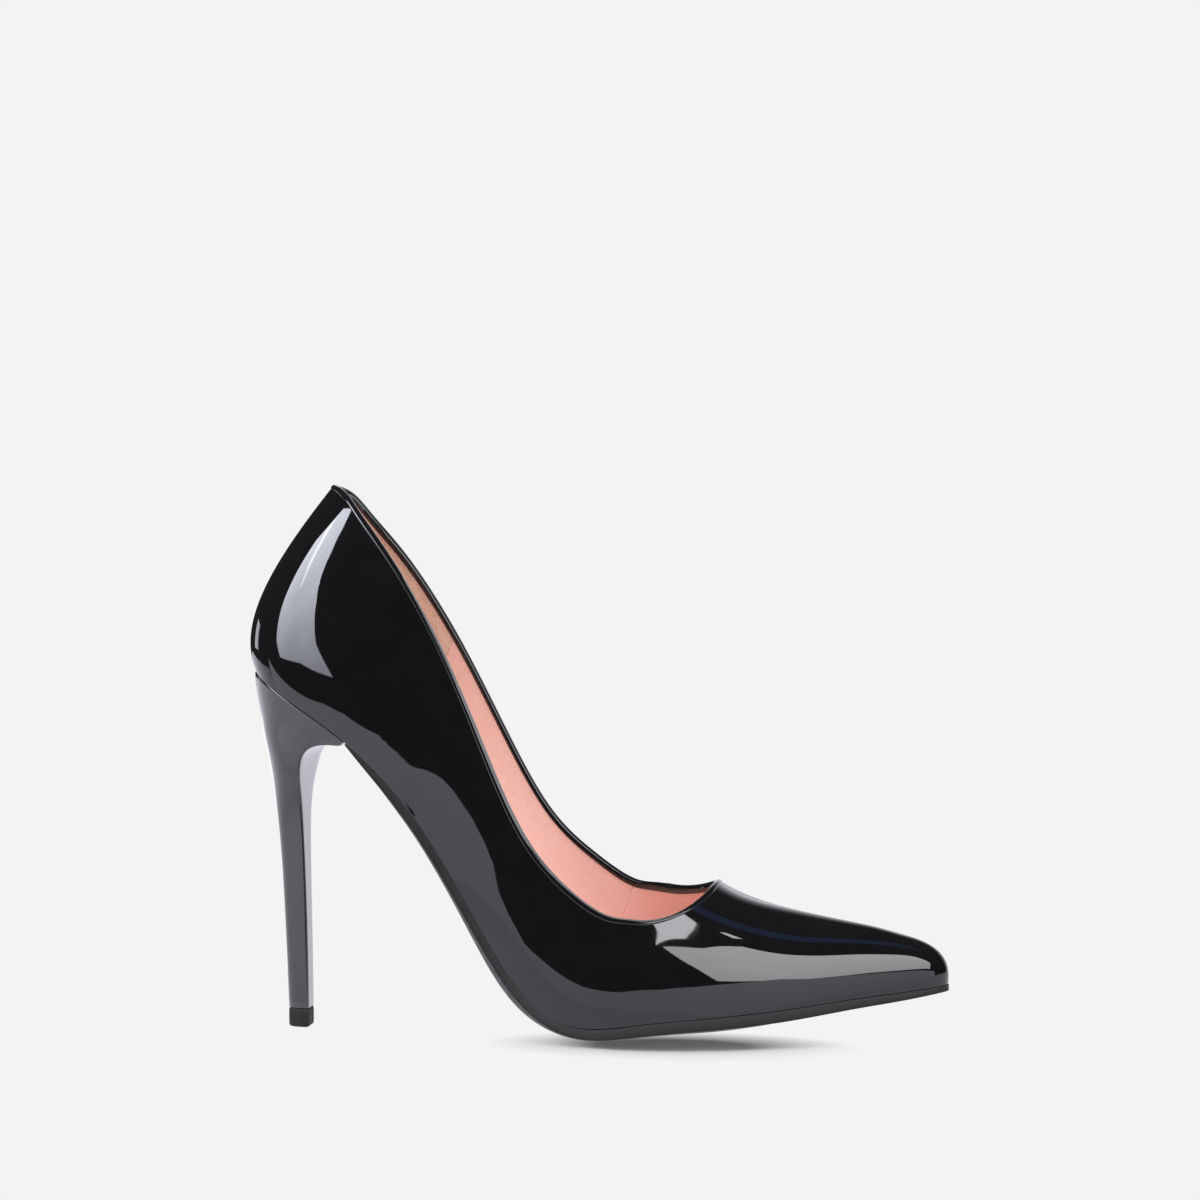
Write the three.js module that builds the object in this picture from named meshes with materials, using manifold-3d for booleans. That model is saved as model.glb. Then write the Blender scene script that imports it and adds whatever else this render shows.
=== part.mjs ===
// A pointed stiletto pump for the right foot, in millimetres, toe along +X and up along +Z.
// The shoe is drawn on its last: a smooth surface lofted through stations from the back of the
// heel to the tip of the toe. Each layer of the upper is that surface offset inwards, and each
// layer of the sole is a plate that follows the feather line.
import * as THREE from 'three';
import { mergeVertices } from 'three/addons/utils/BufferGeometryUtils.js';
import Module from 'manifold-3d';

const wasm = await Module();
wasm.setup();

// ---- Stations of the last ---------------------------------------------------------------------

const OUTER = -1; // the lateral side of the foot lies towards -Y
const INNER = 1; // the medial side towards +Y

// Feather line: x, z, half width on the outer side, half width on the inner side.
const FEATHER = [
  [-1.4, 119.4, 0, 0],
  [2.8, 117.4, 14, 14],
  [11, 112.3, 20.8, 20.8],
  [25, 103.4, 24, 24],
  [42, 88.9, 23.4, 22.8],
  [58, 69, 21.4, 19.8],
  [73.5, 43.3, 20.6, 17.4],
  [90, 18.5, 24.6, 19.6],
  [108, 6.9, 31.6, 26.2],
  [130, 8, 35.8, 33.4],
  [154, 10.5, 33.2, 33.6],
  [178, 12.6, 25.8, 27.4],
  [200, 15.2, 17.2, 18.2],
  [216, 16.8, 11.2, 11.6],
  [225.2, 17.8, 6.2, 6.4],
  [229, 18.1, 0, 0],
];

// The quarters, station by station: a point half way up the wall, a point on the topline, and
// the middle of the instep above, each as x, z and half widths.
const WALL = [
  [1.6, 147.4, 0, 0],
  [6.9, 148, 12.7, 12.7],
  [16, 143, 20.8, 20.8],
  [33, 131, 25.2, 25.2],
  [52, 111, 25.8, 25.6],
  [67, 85.5, 25.6, 24.6],
  [81.5, 57.8, 26.6, 24.6],
  [97, 36, 30, 27],
  [114, 25.5, 34.3, 31],
  [131.5, 26, 36, 34.5],
];
const TOPLINE = [
  [24.7, 181.2, 0, 0],
  [29.4, 179.4, 9.5, 9.5],
  [36.2, 172.4, 16.6, 16.6],
  [47.5, 158.2, 22.2, 22.2],
  [63, 132.8, 25.4, 25.4],
  [77.4, 101.2, 27.5, 27.5],
  [91, 71.4, 29.8, 29.6],
  [106, 52.7, 32, 31.4],
  [120.5, 43, 33, 32],
  [133, 41, 30.8, 30.6],
];
// Middle line over the foot: an imagined instep as far as the throat, then the vamp's ridge.
const CROWN = [
  [70, 275], [72, 272], [76, 262], [81, 240], [94, 198], [105, 152], [115, 116], [126, 98],
  [133, 86], [140, 70], [153.2, 51.2], [176, 42.4], [194, 38.7], [205, 36.5], [211, 34.9],
  [213.5, 34.2],
];
// The vamp, station by station: how the wall leaves the feather line (forward, outward, up) and
// how it arrives at the ridge (forward, half width, drop).
const RISE = [[0, 1.6, 22.5], [0, 1.5, 17], [1, 1.2, 13.5], [1.5, 1, 12], [1.5, 0.8, 10.5],
  [1.3, 0, 9.4]];
const SHOULDER = [[0, 19, 0], [0, 14, 0], [1.5, 9.5, 0.4], [5, 6.3, 1.3], [9.5, 3.8, 2.4],
  [11, 0, 2.6]];

const THROAT = WALL.length; // station of the throat, where the ridge starts
const TOE = FEATHER.length - 1; // station of the tip of the toe
const WALL_AT = 0.2; // place of the wall points on the way from feather line to crown
const TOPLINE_AT = 0.4; // place of the topline on the same way
// How much further up the inner side's topline lies, at each station of the quarters.
const INNER_RISE = [0, -0.006, -0.014, -0.02, -0.024, -0.012, 0.015, 0.04, 0.05, 0.08];
const CURVE_START = 8.8; // station where the topline starts its curve round the throat
const CURVE_POWER = 1.1; // 1 makes that curve elliptical, more makes it squarer
const TOE_DRIFT = 3; // the tip of the toe lies towards the big toe
const TOE_DRIFT_FROM = 150;
const GROUND = [400, 200, 20]; // block of ground below the plane that the shoe stands on

// ---- Layers and fittings ----------------------------------------------------------------------

const UPPER = [0, 1]; // depths below the outer face of the upper
const STIFFENER = [1.15, 1.75];
const LINING = [1.9, 2.5];
const BINDING = [-0.3, 2.5];
const BINDING_HEIGHT = 2;
const GAP = 0.3;
const RIM = 3; // width of the flat rim of the bottom, outside its crown
// Width of the lasted margin, which is folded under the insole, at each station.
const MARGIN = [8, 8, 8, 9, 10, 10, 9, 9, 11, 13, 13, 11, 8, 6, 4.8, 4.8];

// Levels of the sole's layers above the outer face of the lasted margin.
const INSOLE = [3.35, 4.8];
const SHANK_BOARD = [1.6, 2.5];
const STEEL_SHANK = [0.4, 1.3];
const FILLER = [0.4, 2.5];
const CUSHION = [5.1, 6.5];
const BALL = { from: 100, to: 168, half: 19 }; // plan of the pads and of the steel shank
const SEAT = { from: 5, to: 52, half: 13 };
const SHANK = { from: 22, to: 103, half: 5.2 };
const SHANK_END = 110; // where the shank board ends and the filler starts
const CUSHION_EDGE = 0.4; // thickness of a pad at its outline
const SOCK = 0.7; // thickness of the sock lining
const SOCK_LIFT = 0.35; // clearance between the sock lining and the pads
// How far the plates stay inside the sole's outline.
const INSOLE_INSET = 3.4;
const SOCK_INSET = 3.8;
const MARGIN_CLEARANCE = 0.8; // between the lasted margin and the plates inside it
// How far the bottom bulges below the feather line along its middle, as x and depth.
const BOTTOM_CROWN = [[33, 0], [42, 2.4], [60, 3.5], [78, 4.2], [93, 5.4], [105, 4.5], [120, 3.7],
  [140, 3.9], [155, 4], [172, 2.8], [195, 0.9], [229, 0]];
// Thickness of the outsole, as x and thickness.
const OUTSOLE = [[33, 0.3], [38, 1.4], [46, 2.4], [60, 2.7], [90, 2.9], [115, 3.2],
  [140, 3.4], [185, 3.1], [205, 2.5], [220, 1.9], [229, 1.5]];
const OUTSOLE_START = 34.6;
const OUTSOLE_GAP = 0.7;
const OUTSOLE_INSET = { waist: 1.2, forepart: -0.4, toe: -0.2, from: 90, to: 135, toeFrom: 205 };
// Places along X of the columns that all plates of the sole share, closer at the ball's break.
const PLATE_STEP = 8;
const BREAK = { from: 80, to: 116, step: 4 };
const ROUND_END = [0.4, 1.6, 4]; // extra columns at a rounded end of a plate
const TOE_ROOM = { room: 1.2, from: 190 }; // more room inside the toe than along the sides

// Profile of the heel from the top piece up to the seat: x and z at the back, x and z at the
// breast, and the half width at the breast.
const HEEL = [
  [8.8, 6.5, 16.3, 6.5, 4.4],
  [7.8, 30, 16, 30, 4.6],
  [6.4, 56, 15.4, 56, 5.5],
  [4.9, 73, 15.1, 75, 8.4],
  [3.8, 84, 15.6, 85, 14],
  [2.5, 92, 17, 91.4, 17],
  [1.2, 98, 20.6, 95, 18.6],
  [0, 105.3, 26.2, 96, 20.2],
  [-1.2, 112, 30.6, 96, 21.8],
];
const HEEL_SEAT = { back: -1.6, breast: 32.4, half: 23.6, level: -0.6 };
const HEEL_RINGS = 17; // rings of the smooth heel that passes through that profile
const HEEL_SIDES = 14; // flats round the back of each ring
const STEM_ROUNDNESS = 0.9; // 1 is an ellipse, less is squarer
const SEAT_ROUNDNESS = 0.7;
const COVER = 0.55; // thickness of the heel's cover
const TOP_PIECE_HEIGHT = 6.2;
const CHAMFER = 0.5;
const TUBE = { outer: 1.7, inner: 1.15, foot: [13.3, 7], head: [10.3, 84] };
const DOWEL = { radius: 0.85, length: 13, foot: 2.5 };
// Heel fixings: x, y and depth below the seat.
const SCREW_AT = [15, 0, 12];
const NAILS_AT = [[8, 0, 9], [12, 8.5, 8], [12, -8.5, 8], [20, 9.5, 6], [20, -9.5, 6]];
const SCREW = { shank: 1.8, head: 3.4 };
const NAIL = { shank: 0.9, head: 1.9 };
const HEAD_HEIGHT = 1;
const SUNK = 0.1; // how far the heads of the fixings and rivets lie below the face they hold
const RIVETS_AT = [27, 96];
const RIVET_RADIUS = 1.6;

const COLOURS = {
  patent: 0x0c0c0e, lining: 0xd99688, grip: 0xc9a08c, board: 0xa98f6c, cork: 0xb58a5a,
  foam: 0xe9e2d2, steel: 0x9a9da2, plastic: 0xd8d6cf, rubber: 0x18181a, cover: 0x2a2b2e,
};

// ---- Curves -----------------------------------------------------------------------------------

const lerp = THREE.MathUtils.lerp;
const clamp = THREE.MathUtils.clamp;

// A cubic spline through values at knots. Its ends are level (level = true) or straight.
function cubicSpline(knots, values, level) {
  const n = knots.length;
  const gap = (i) => knots[i + 1] - knots[i];
  const slope = (i) => (values[i + 1] - values[i]) / gap(i);
  const diagonal = [];
  const right = [];
  for (let i = 0; i < n; i++) {
    const before = i > 0 ? gap(i - 1) : 0;
    const after = i < n - 1 ? gap(i) : 0;
    const slopeBefore = i > 0 ? slope(i - 1) : 0;
    const slopeAfter = i < n - 1 ? slope(i) : 0;
    diagonal.push(2 * (before + after));
    right.push(6 * (slopeAfter - slopeBefore));
  }
  if (!level) {
    diagonal[0] = diagonal[n - 1] = 1;
    right[0] = right[n - 1] = 0;
  }
  const above = (i) => (!level && i === 0 ? 0 : gap(i));
  const below = (i) => (!level && i === n - 1 ? 0 : gap(i - 1));
  for (let i = 1; i < n; i++) {
    const factor = below(i) / diagonal[i - 1];
    diagonal[i] -= factor * above(i - 1);
    right[i] -= factor * right[i - 1];
  }
  const bend = new Array(n).fill(0);
  bend[n - 1] = right[n - 1] / diagonal[n - 1];
  for (let i = n - 2; i >= 0; i--) bend[i] = (right[i] - above(i) * bend[i + 1]) / diagonal[i];

  return (at) => {
    const t = clamp(at, knots[0], knots[n - 1]);
    let i = 0;
    while (i < n - 2 && t > knots[i + 1]) i++;
    const h = gap(i);
    const a = (knots[i + 1] - t) / h;
    const b = (t - knots[i]) / h;
    const curve = ((a ** 3 - a) * bend[i] + (b ** 3 - b) * bend[i + 1]) * h * h / 6;
    return a * values[i] + b * values[i + 1] + curve;
  };
}

const splineOf = (rows) => cubicSpline(rows.map((row) => row[0]), rows.map((row) => row[1]), false);

function smoothstep(from, to, at) {
  const t = clamp((at - from) / (to - from), 0, 1);
  return t * t * (3 - 2 * t);
}

const drift = (x) => TOE_DRIFT * smoothstep(TOE_DRIFT_FROM, FEATHER[TOE][0], x);
const halfColumn = (side) => (side === OUTER ? 2 : 3);

// ---- The last ---------------------------------------------------------------------------------

// Knots along the feather line, spaced by the root of the distance between stations.
const KNOTS = [0];
for (let i = 1; i <= TOE; i++) {
  const [x0, z0, y0] = FEATHER[i - 1];
  const [x1, z1, y1] = FEATHER[i];
  KNOTS.push(KNOTS[i - 1] + Math.sqrt(Math.hypot(x1 - x0, y1 - y0, z1 - z0)));
}

// The knot value at a station, which may lie between two stations.
function knotAt(station) {
  const i = Math.min(Math.floor(station), TOE - 1);
  return lerp(KNOTS[i], KNOTS[i + 1], station - i);
}

const bernstein = (t) => [(1 - t) ** 3, 3 * t * (1 - t) ** 2, 3 * t * t * (1 - t), t ** 3];

// Two inner control points of the curve that starts at a, ends at d and passes the wall and
// topline points at their places.
function controlsThrough(a, wall, top, d) {
  const [a1, b1, c1, d1] = bernstein(WALL_AT);
  const [a2, b2, c2, d2] = bernstein(TOPLINE_AT);
  const det = b1 * c2 - b2 * c1;
  const first = wall - a1 * a - d1 * d;
  const second = top - a2 * a - d2 * d;
  return [(first * c2 - second * c1) / det, (second * b1 - first * b2) / det];
}

// Control points of one station's section, each [x, half width, z].
function section(station, side) {
  const half = halfColumn(side);
  const [fx, fz] = FEATHER[station];
  const start = [fx, FEATHER[station][half], fz];
  const end = [CROWN[station][0], 0, CROWN[station][1]];
  if (station < THROAT) {
    const wall = [WALL[station][0], WALL[station][half], WALL[station][1]];
    const top = [TOPLINE[station][0], TOPLINE[station][half], TOPLINE[station][1]];
    const pairs = start.map((value, i) => controlsThrough(value, wall[i], top[i], end[i]));
    return [start, pairs.map((pair) => pair[0]), pairs.map((pair) => pair[1]), end];
  }
  const rise = RISE[station - THROAT];
  const shoulder = SHOULDER[station - THROAT];
  const widen = FEATHER[station][half] / Math.max(FEATHER[station][2], 1);
  return [
    start,
    [fx + rise[0], start[1] + rise[1], fz + rise[2]],
    [end[0] + shoulder[0], shoulder[1] * (station === TOE ? 0 : widen), end[2] - shoulder[2]],
    end,
  ];
}

// The last's surface on one side: a function of the knot value and the way up the section.
function lastSurface(side) {
  const sections = FEATHER.map((row, station) => section(station, side));
  const rails = [0, 1, 2, 3].map((control) => [0, 1, 2].map((axis) => cubicSpline(
    KNOTS, sections.map((points) => points[control][axis]), axis !== 1)));
  return (knot, way) => {
    const weights = bernstein(way);
    const [x, half, z] = [0, 1, 2].map((axis) => weights.reduce(
      (sum, weight, control) => sum + weight * rails[control][axis](knot), 0));
    return new THREE.Vector3(x, side * Math.max(half, 0) + drift(x), z);
  };
}

const LAST = { [OUTER]: lastSurface(OUTER), [INNER]: lastSurface(INNER) };
const innerRise = cubicSpline(KNOTS.slice(0, THROAT), INNER_RISE, false);

// ---- The bottom of the last -------------------------------------------------------------------

const featherHeight = cubicSpline(
  FEATHER.map((row) => row[0]), FEATHER.map((row) => row[1]), false);
const bottomCrown = splineOf(BOTTOM_CROWN);
const outsoleThickness = splineOf(OUTSOLE);

// Upward normal of the bottom at x, in the XZ plane.
function bottomNormal(x) {
  const step = 0.5;
  const rise = featherHeight(x + step) - featherHeight(x - step);
  return new THREE.Vector3(-rise, 0, 2 * step).normalize();
}

const EDGE_STEPS = 240;
const EDGE = Object.fromEntries([OUTER, INNER].map((side) => [side, Array.from(
  { length: EDGE_STEPS + 1 }, (_, i) => LAST[side](KNOTS[TOE] * i / EDGE_STEPS, 0))]));

// Half width of the sole at x.
function halfWidth(x, side) {
  const edge = EDGE[side];
  let i = 0;
  while (i < EDGE_STEPS - 1 && edge[i + 1].x < x) i++;
  const t = clamp((x - edge[i].x) / (edge[i + 1].x - edge[i].x), 0, 1);
  return Math.abs(lerp(edge[i].y, edge[i + 1].y, t) - drift(x));
}

// A point of the bottom at plan position x, y and at a level above the lasted margin's face.
function bottomPoint(x, y, level) {
  const offset = y - drift(x);
  const half = Math.max(halfWidth(x, offset < 0 ? OUTER : INNER) - RIM, 0.1);
  const across = Math.min(Math.abs(offset) / half, 1);
  const depth = Math.max(bottomCrown(x), 0) * (1 - across * across);
  return new THREE.Vector3(x, y, featherHeight(x))
    .addScaledVector(bottomNormal(x), level - depth);
}

// A point of the sole's outline, moved inwards in plan by an inset.
function outlinePoint(knot, side, inset) {
  const step = 0.02;
  const here = LAST[side](knot, 0);
  const along = LAST[side](Math.min(knot + step, KNOTS[TOE]), 0)
    .sub(LAST[side](Math.max(knot - step, 0), 0)).setZ(0);
  const inward = new THREE.Vector3(side * along.y, -side * along.x, 0);
  if (knot <= 0) inward.set(1, 0, 0);
  if (knot >= KNOTS[TOE]) inward.set(-1, 0, 0);
  inward.normalize();
  return new THREE.Vector2(here.x + inset * inward.x, here.y + inset * inward.y);
}

// ---- Grid over the upper ----------------------------------------------------------------------

// Columns run from the topline down to the feather line. Along the quarters they stand at these
// stations, with a pair on each side of a seam, and round the throat they fan out to the toe.
const GRIP_SEAM = 7;
const VAMP_SEAM = 15;
const COUNTER_END = 9;
const QUARTER_COLUMNS = [
  0, 0.5, 1, 1.6, 2.4, 3, 3.5, 4, 4.06, 4.8, 5.5, 6.2, 6.7, 7.1, 7.5, 8, 8.05, 8.4];
const THROAT_COLUMNS = [0, 0.12, 0.25, 0.38, 0.5, 0.61, 0.72, 0.82, 0.9, 0.96, 1];
const WALL_ROWS = [0.14, 0.3, 0.46, 0.5, 0.66, 0.82, 1]; // shares of the height below the binding
const BINDING_ROW = 1;
const EDGE_ROW = 2;
const BLEND_ROW = 5; // row of the interlining's edge, next to that of the toe puff
const FEATHER_ROW = EDGE_ROW + WALL_ROWS.length;
const RIM_ROW = FEATHER_ROW + 1;
const MARGIN_ROW = FEATHER_ROW + 2;

function toplineWay(knot, side) {
  const limit = Math.min(knot, KNOTS[THROAT - 1]);
  return TOPLINE_AT + (side === INNER ? innerRise(limit) : 0);
}

// Width of the lasted margin at a knot.
function marginAt(knot) {
  const after = Math.max(KNOTS.findIndex((other) => other >= knot - 1e-6), 1);
  const part = (knot - KNOTS[after - 1]) / (KNOTS[after] - KNOTS[after - 1]);
  return lerp(MARGIN[after - 1], MARGIN[after], part);
}

// The way of one column over the surface, as a fine line of points.
function columnPath(side, station, fan) {
  const start = knotAt(station);
  let top = start;
  let way = toplineWay(start, side);
  let foot = start;
  if (fan > 0) {
    const angle = fan * Math.PI / 2;
    top = lerp(start, KNOTS[THROAT], Math.sin(angle));
    way = lerp(toplineWay(top, side), 1, (1 - Math.cos(angle)) ** CURVE_POWER);
    foot = lerp(start, KNOTS[TOE], fan);
  }
  const power = 2 * (1 - fan);
  const steps = 48;
  const corners = [[top, way]];
  if (fan === 1) corners.push([foot, way]);
  for (let i = 1; fan < 1 && i < steps; i++) {
    const angle = i / steps * Math.PI / 2;
    corners.push([
      lerp(top, foot, Math.sin(angle) ** power), way * Math.cos(angle) ** power]);
  }
  corners.push([foot, 0]);
  const points = [LAST[side](top, way)];
  for (let i = 1; i < corners.length; i++) {
    const [k0, w0] = corners[i - 1];
    const [k1, w1] = corners[i];
    const pieces = Math.ceil(Math.max(Math.abs(k1 - k0) / 0.5, Math.abs(w1 - w0) / 0.03));
    for (let j = 1; j <= pieces; j++) {
      points.push(LAST[side](lerp(k0, k1, j / pieces), lerp(w0, w1, j / pieces)));
    }
  }
  return { points, foot };
}

// The point at a distance along a line of points.
function pointAlong(points, lengths, distance) {
  let i = 1;
  while (i < points.length - 1 && lengths[i] < distance) i++;
  const t = (distance - lengths[i - 1]) / (lengths[i] - lengths[i - 1]);
  return points[i - 1].clone().lerp(points[i], clamp(t, 0, 1));
}

function column(side, station, fan) {
  const { points, foot } = columnPath(side, station, fan);
  const lengths = [0];
  for (let i = 1; i < points.length; i++) {
    lengths.push(lengths[i - 1] + points[i].distanceTo(points[i - 1]));
  }
  const total = lengths[lengths.length - 1];
  const edge = BINDING_HEIGHT + GAP;
  const distances = [0, BINDING_HEIGHT, edge];
  WALL_ROWS.forEach((share) => distances.push(lerp(edge, total, share)));
  const rows = distances.map((distance) => pointAlong(points, lengths, distance));
  for (const inset of [RIM, marginAt(foot)]) {
    const under = outlinePoint(foot, side, inset);
    rows.push(bottomPoint(under.x, under.y, 0));
  }
  return rows;
}

const HALF_RING = [
  ...QUARTER_COLUMNS.map((station) => [station, 0]),
  ...THROAT_COLUMNS.map((fan) => [CURVE_START, fan]),
];
const TIP_COLUMN = HALF_RING.length - 1;
const RING = 2 * TIP_COLUMN;
const GRID = [
  ...HALF_RING.map(([station, fan]) => column(OUTER, station, fan)),
  ...HALF_RING.slice(1, -1).reverse().map(([station, fan]) => column(INNER, station, fan)),
];
const ringIndex = (i) => ((i % RING) + RING) % RING;

// Outward offset direction of a grid point, scaled so that both faces at the feather line
// move by the same distance.
function offsetDirection(i, row) {
  const down = bottomNormal(GRID[i][row].x).negate();
  if (row > FEATHER_ROW) return down;
  const here = GRID[i];
  const around = GRID[ringIndex(i + 1)][row].clone().sub(GRID[ringIndex(i - 1)][row]);
  const along = here[Math.min(row + 1, FEATHER_ROW)].clone().sub(here[Math.max(row - 1, 0)]);
  const outward = around.cross(along).normalize().negate();
  if (row < FEATHER_ROW) return outward;
  return outward.clone().add(down).divideScalar(1 + outward.dot(down));
}

const DIRECTIONS = GRID.map((rows, i) => rows.map((point, row) => offsetDirection(i, row)));

// ---- Solids -----------------------------------------------------------------------------------

const range = (from, to) => Array.from({ length: to - from + 1 }, (_, i) => from + i);

// Two triangles over each cell of a grid of points, given as columns of rows.
function gridTriangles(grid, closed) {
  const triangles = [];
  const last = closed ? grid.length : grid.length - 1;
  for (let i = 0; i < last; i++) {
    const a = grid[i];
    const b = grid[(i + 1) % grid.length];
    for (let j = 0; j < a.length - 1; j++) {
      triangles.push([a[j], b[j], b[j + 1]], [a[j], b[j + 1], a[j + 1]]);
    }
  }
  return triangles;
}

// A closed geometry from triangles whose shared points coincide.
function solidFrom(triangles) {
  const positions = triangles.flat().flatMap((point) => point.toArray());
  const loose = new THREE.BufferGeometry();
  loose.setAttribute('position', new THREE.Float32BufferAttribute(positions, 3));
  const merged = mergeVertices(loose, 1e-4);
  const at = merged.attributes.position;
  const corner = range(0, 2).map(() => new THREE.Vector3());
  const kept = [];
  let volume = 0;
  for (let i = 0; i < merged.index.count; i += 3) {
    const ids = [0, 1, 2].map((k) => merged.index.getX(i + k));
    if (new Set(ids).size < 3) continue;
    ids.forEach((id, k) => corner[k].fromBufferAttribute(at, id));
    volume += corner[0].dot(corner[1].clone().cross(corner[2]));
    kept.push(ids);
  }
  if (volume < 0) kept.forEach((ids) => ids.reverse());
  merged.setIndex(kept.flat());
  return merged;
}

// A slab between two grids of the same size, closed round its edge.
function slab(front, back, closed = false) {
  const triangles = [
    ...gridTriangles(front, closed),
    ...gridTriangles(back, closed).map((triangle) => triangle.reverse()),
  ];
  const rows = front[0].length - 1;
  const edge = (a, b) => gridTriangles([a, b], false);
  const firstRow = (grid) => [...grid, ...(closed ? [grid[0]] : [])].map((points) => points[0]);
  const lastRow = (grid) => [...grid, ...(closed ? [grid[0]] : [])].map((points) => points[rows]);
  triangles.push(...edge(firstRow(front), firstRow(back)));
  triangles.push(...edge(lastRow(back), lastRow(front)));
  if (!closed) {
    triangles.push(...edge(back[0], front[0]));
    triangles.push(...edge(front[front.length - 1], back[back.length - 1]));
  }
  return solidFrom(triangles);
}

// A layer of the upper between two depths, over some columns and rows of the grid.
function layer(columns, rows, [outerDepth, innerDepth]) {
  const closed = columns.length === RING;
  const face = (depth) => columns.map((i) => rows.map((row) => (
    GRID[ringIndex(i)][row].clone().addScaledVector(DIRECTIONS[ringIndex(i)][row], -depth))));
  return slab(face(outerDepth), face(innerDepth), closed);
}

// A plate on the bottom of the last between two levels, which may depend on x and y.
function plate(columns, low, high, across = 6) {
  const face = (level) => columns.map(([left, right]) => range(0, across).map((j) => {
    const place = left.clone().lerp(right, j / across);
    const height = typeof level === 'function' ? level(place.x, place.y) : level;
    return bottomPoint(place.x, place.y, height);
  }));
  return slab(face(high), face(low));
}

// Columns of a plate between two places along X: the shared ones, and more at round ends.
function plateColumns(from, to, edgeAt) {
  const places = [from, to];
  ROUND_END.forEach((extra) => places.push(from + extra, to - extra));
  const clear = ROUND_END[ROUND_END.length - 1] + 1;
  for (let x = 0; x < FEATHER[TOE][0]; x += PLATE_STEP / 2) {
    const shared = x % PLATE_STEP === 0 || (x > BREAK.from && x < BREAK.to);
    if (shared && x > from + clear && x < to - clear) places.push(x);
  }
  places.sort((a, b) => a - b);
  return places.map((x) => [
    new THREE.Vector2(x, edgeAt(OUTER, x)), new THREE.Vector2(x, edgeAt(INNER, x))]);
}

// Columns of a plate that follows the sole's outline at an inset, which may depend on x.
function soleColumns(inset, from = -Infinity, to = Infinity) {
  const insetAt = typeof inset === 'function' ? inset : () => inset;
  const outline = Object.fromEntries([OUTER, INNER].map((side) => [side, EDGE[side].map(
    (point, i) => outlinePoint(KNOTS[TOE] * i / EDGE_STEPS, side, insetAt(point.x)))]));
  const first = outline[OUTER][0];
  const last = outline[OUTER][EDGE_STEPS];
  const edgeAt = (side, x) => {
    const points = outline[side];
    let i = 0;
    while (i < EDGE_STEPS - 1 && points[i + 1].x < x) i++;
    const t = (x - points[i].x) / (points[i + 1].x - points[i].x);
    return lerp(points[i].y, points[i + 1].y, clamp(t, 0, 1));
  };
  return plateColumns(Math.max(from, first.x), Math.min(to, last.x), edgeAt);
}

// Columns of a long pad with round ends.
function padColumns({ from, to, half }) {
  const along = (x) => clamp((2 * x - from - to) / (to - from), -1, 1);
  return plateColumns(
    from, to, (side, x) => drift(x) + side * half * Math.sqrt(1 - along(x) ** 2));
}

// A solid that can be cut from a geometry, and back.
function toManifold(geometry) {
  const { position } = geometry.attributes;
  return new wasm.Manifold(new wasm.Mesh({
    numProp: 3,
    vertProperties: new Float32Array(position.array),
    triVerts: new Uint32Array(geometry.index.array),
  }));
}

function fromManifold(solid) {
  const { vertProperties, triVerts } = solid.getMesh();
  const geometry = new THREE.BufferGeometry();
  geometry.setAttribute('position', new THREE.BufferAttribute(vertProperties, 3));
  geometry.setIndex(new THREE.BufferAttribute(triVerts, 1));
  return geometry;
}

function cut(geometry, cutters) {
  const solid = cutters.reduce(
    (rest, cutter) => rest.subtract(toManifold(cutter)), toManifold(geometry));
  return fromManifold(solid);
}

function bare(geometry) {
  geometry.deleteAttribute('normal');
  geometry.deleteAttribute('uv');
  return mergeVertices(geometry, 1e-4);
}

// A round turned piece along a line: profile points are [radius, distance from the start].
function turned(profile, start, direction, sides = 12) {
  const points = profile.map(([radius, distance]) => new THREE.Vector2(radius, distance));
  const geometry = bare(new THREE.LatheGeometry(points, sides));
  const turn = new THREE.Quaternion().setFromUnitVectors(
    new THREE.Vector3(0, 1, 0), direction.clone().normalize());
  geometry.applyQuaternion(turn);
  geometry.translate(start.x, start.y, start.z);
  return solidFrom(range(0, geometry.index.count / 3 - 1).map((i) => range(0, 2).map(
    (k) => new THREE.Vector3().fromBufferAttribute(
      geometry.attributes.position, geometry.index.getX(3 * i + k)))));
}

const rod = (radius, length) => [[0, 0], [radius, 0], [radius, length], [0, length]];

// A headed fixing driven down through the insole; grown for the hole that it needs.
function fixing([x, y, depth], { shank, head }, grow) {
  const level = INSOLE[1] - SUNK;
  const start = bottomPoint(x, y, level + 2 * grow);
  const headEnd = HEAD_HEIGHT + 3 * grow;
  const end = level + depth + 3 * grow;
  const profile = [[0, 0], [head + grow, 0], [head + grow, headEnd], [shank + grow, headEnd],
    [shank + grow, end], [0, end]];
  return turned(profile, start, bottomNormal(x).negate(), 10);
}

const nail = (place, grow = 0) => fixing(place, NAIL, grow);
const screw = (grow = 0) => fixing(SCREW_AT, SCREW, grow);
const heelHoles = () => [...NAILS_AT.map((place) => nail(place, GAP)), screw(GAP)];

// A flat-headed rivet that clamps the steel shank to the shank board.
function rivet(x, grow = 0) {
  const low = bottomPoint(x, 0, STEEL_SHANK[0] + SUNK - grow);
  const length = SHANK_BOARD[1] - STEEL_SHANK[0] - 2 * SUNK + 2 * grow;
  return turned(rod(RIVET_RADIUS + grow, length), low, bottomNormal(x), 10);
}

// ---- Upper ------------------------------------------------------------------------------------

const ALL_COLUMNS = range(0, RING - 1);
const upperShell = () => layer(ALL_COLUMNS, range(EDGE_ROW, MARGIN_ROW), UPPER);
const toplineBinding = () => layer(ALL_COLUMNS, range(0, BINDING_ROW), BINDING);
const heelGrip = () => layer(range(-GRIP_SEAM, GRIP_SEAM), range(EDGE_ROW, MARGIN_ROW), LINING);
const vampLining = () => layer(
  range(VAMP_SEAM + 1, RING - VAMP_SEAM - 1), range(EDGE_ROW, MARGIN_ROW), LINING);

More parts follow.
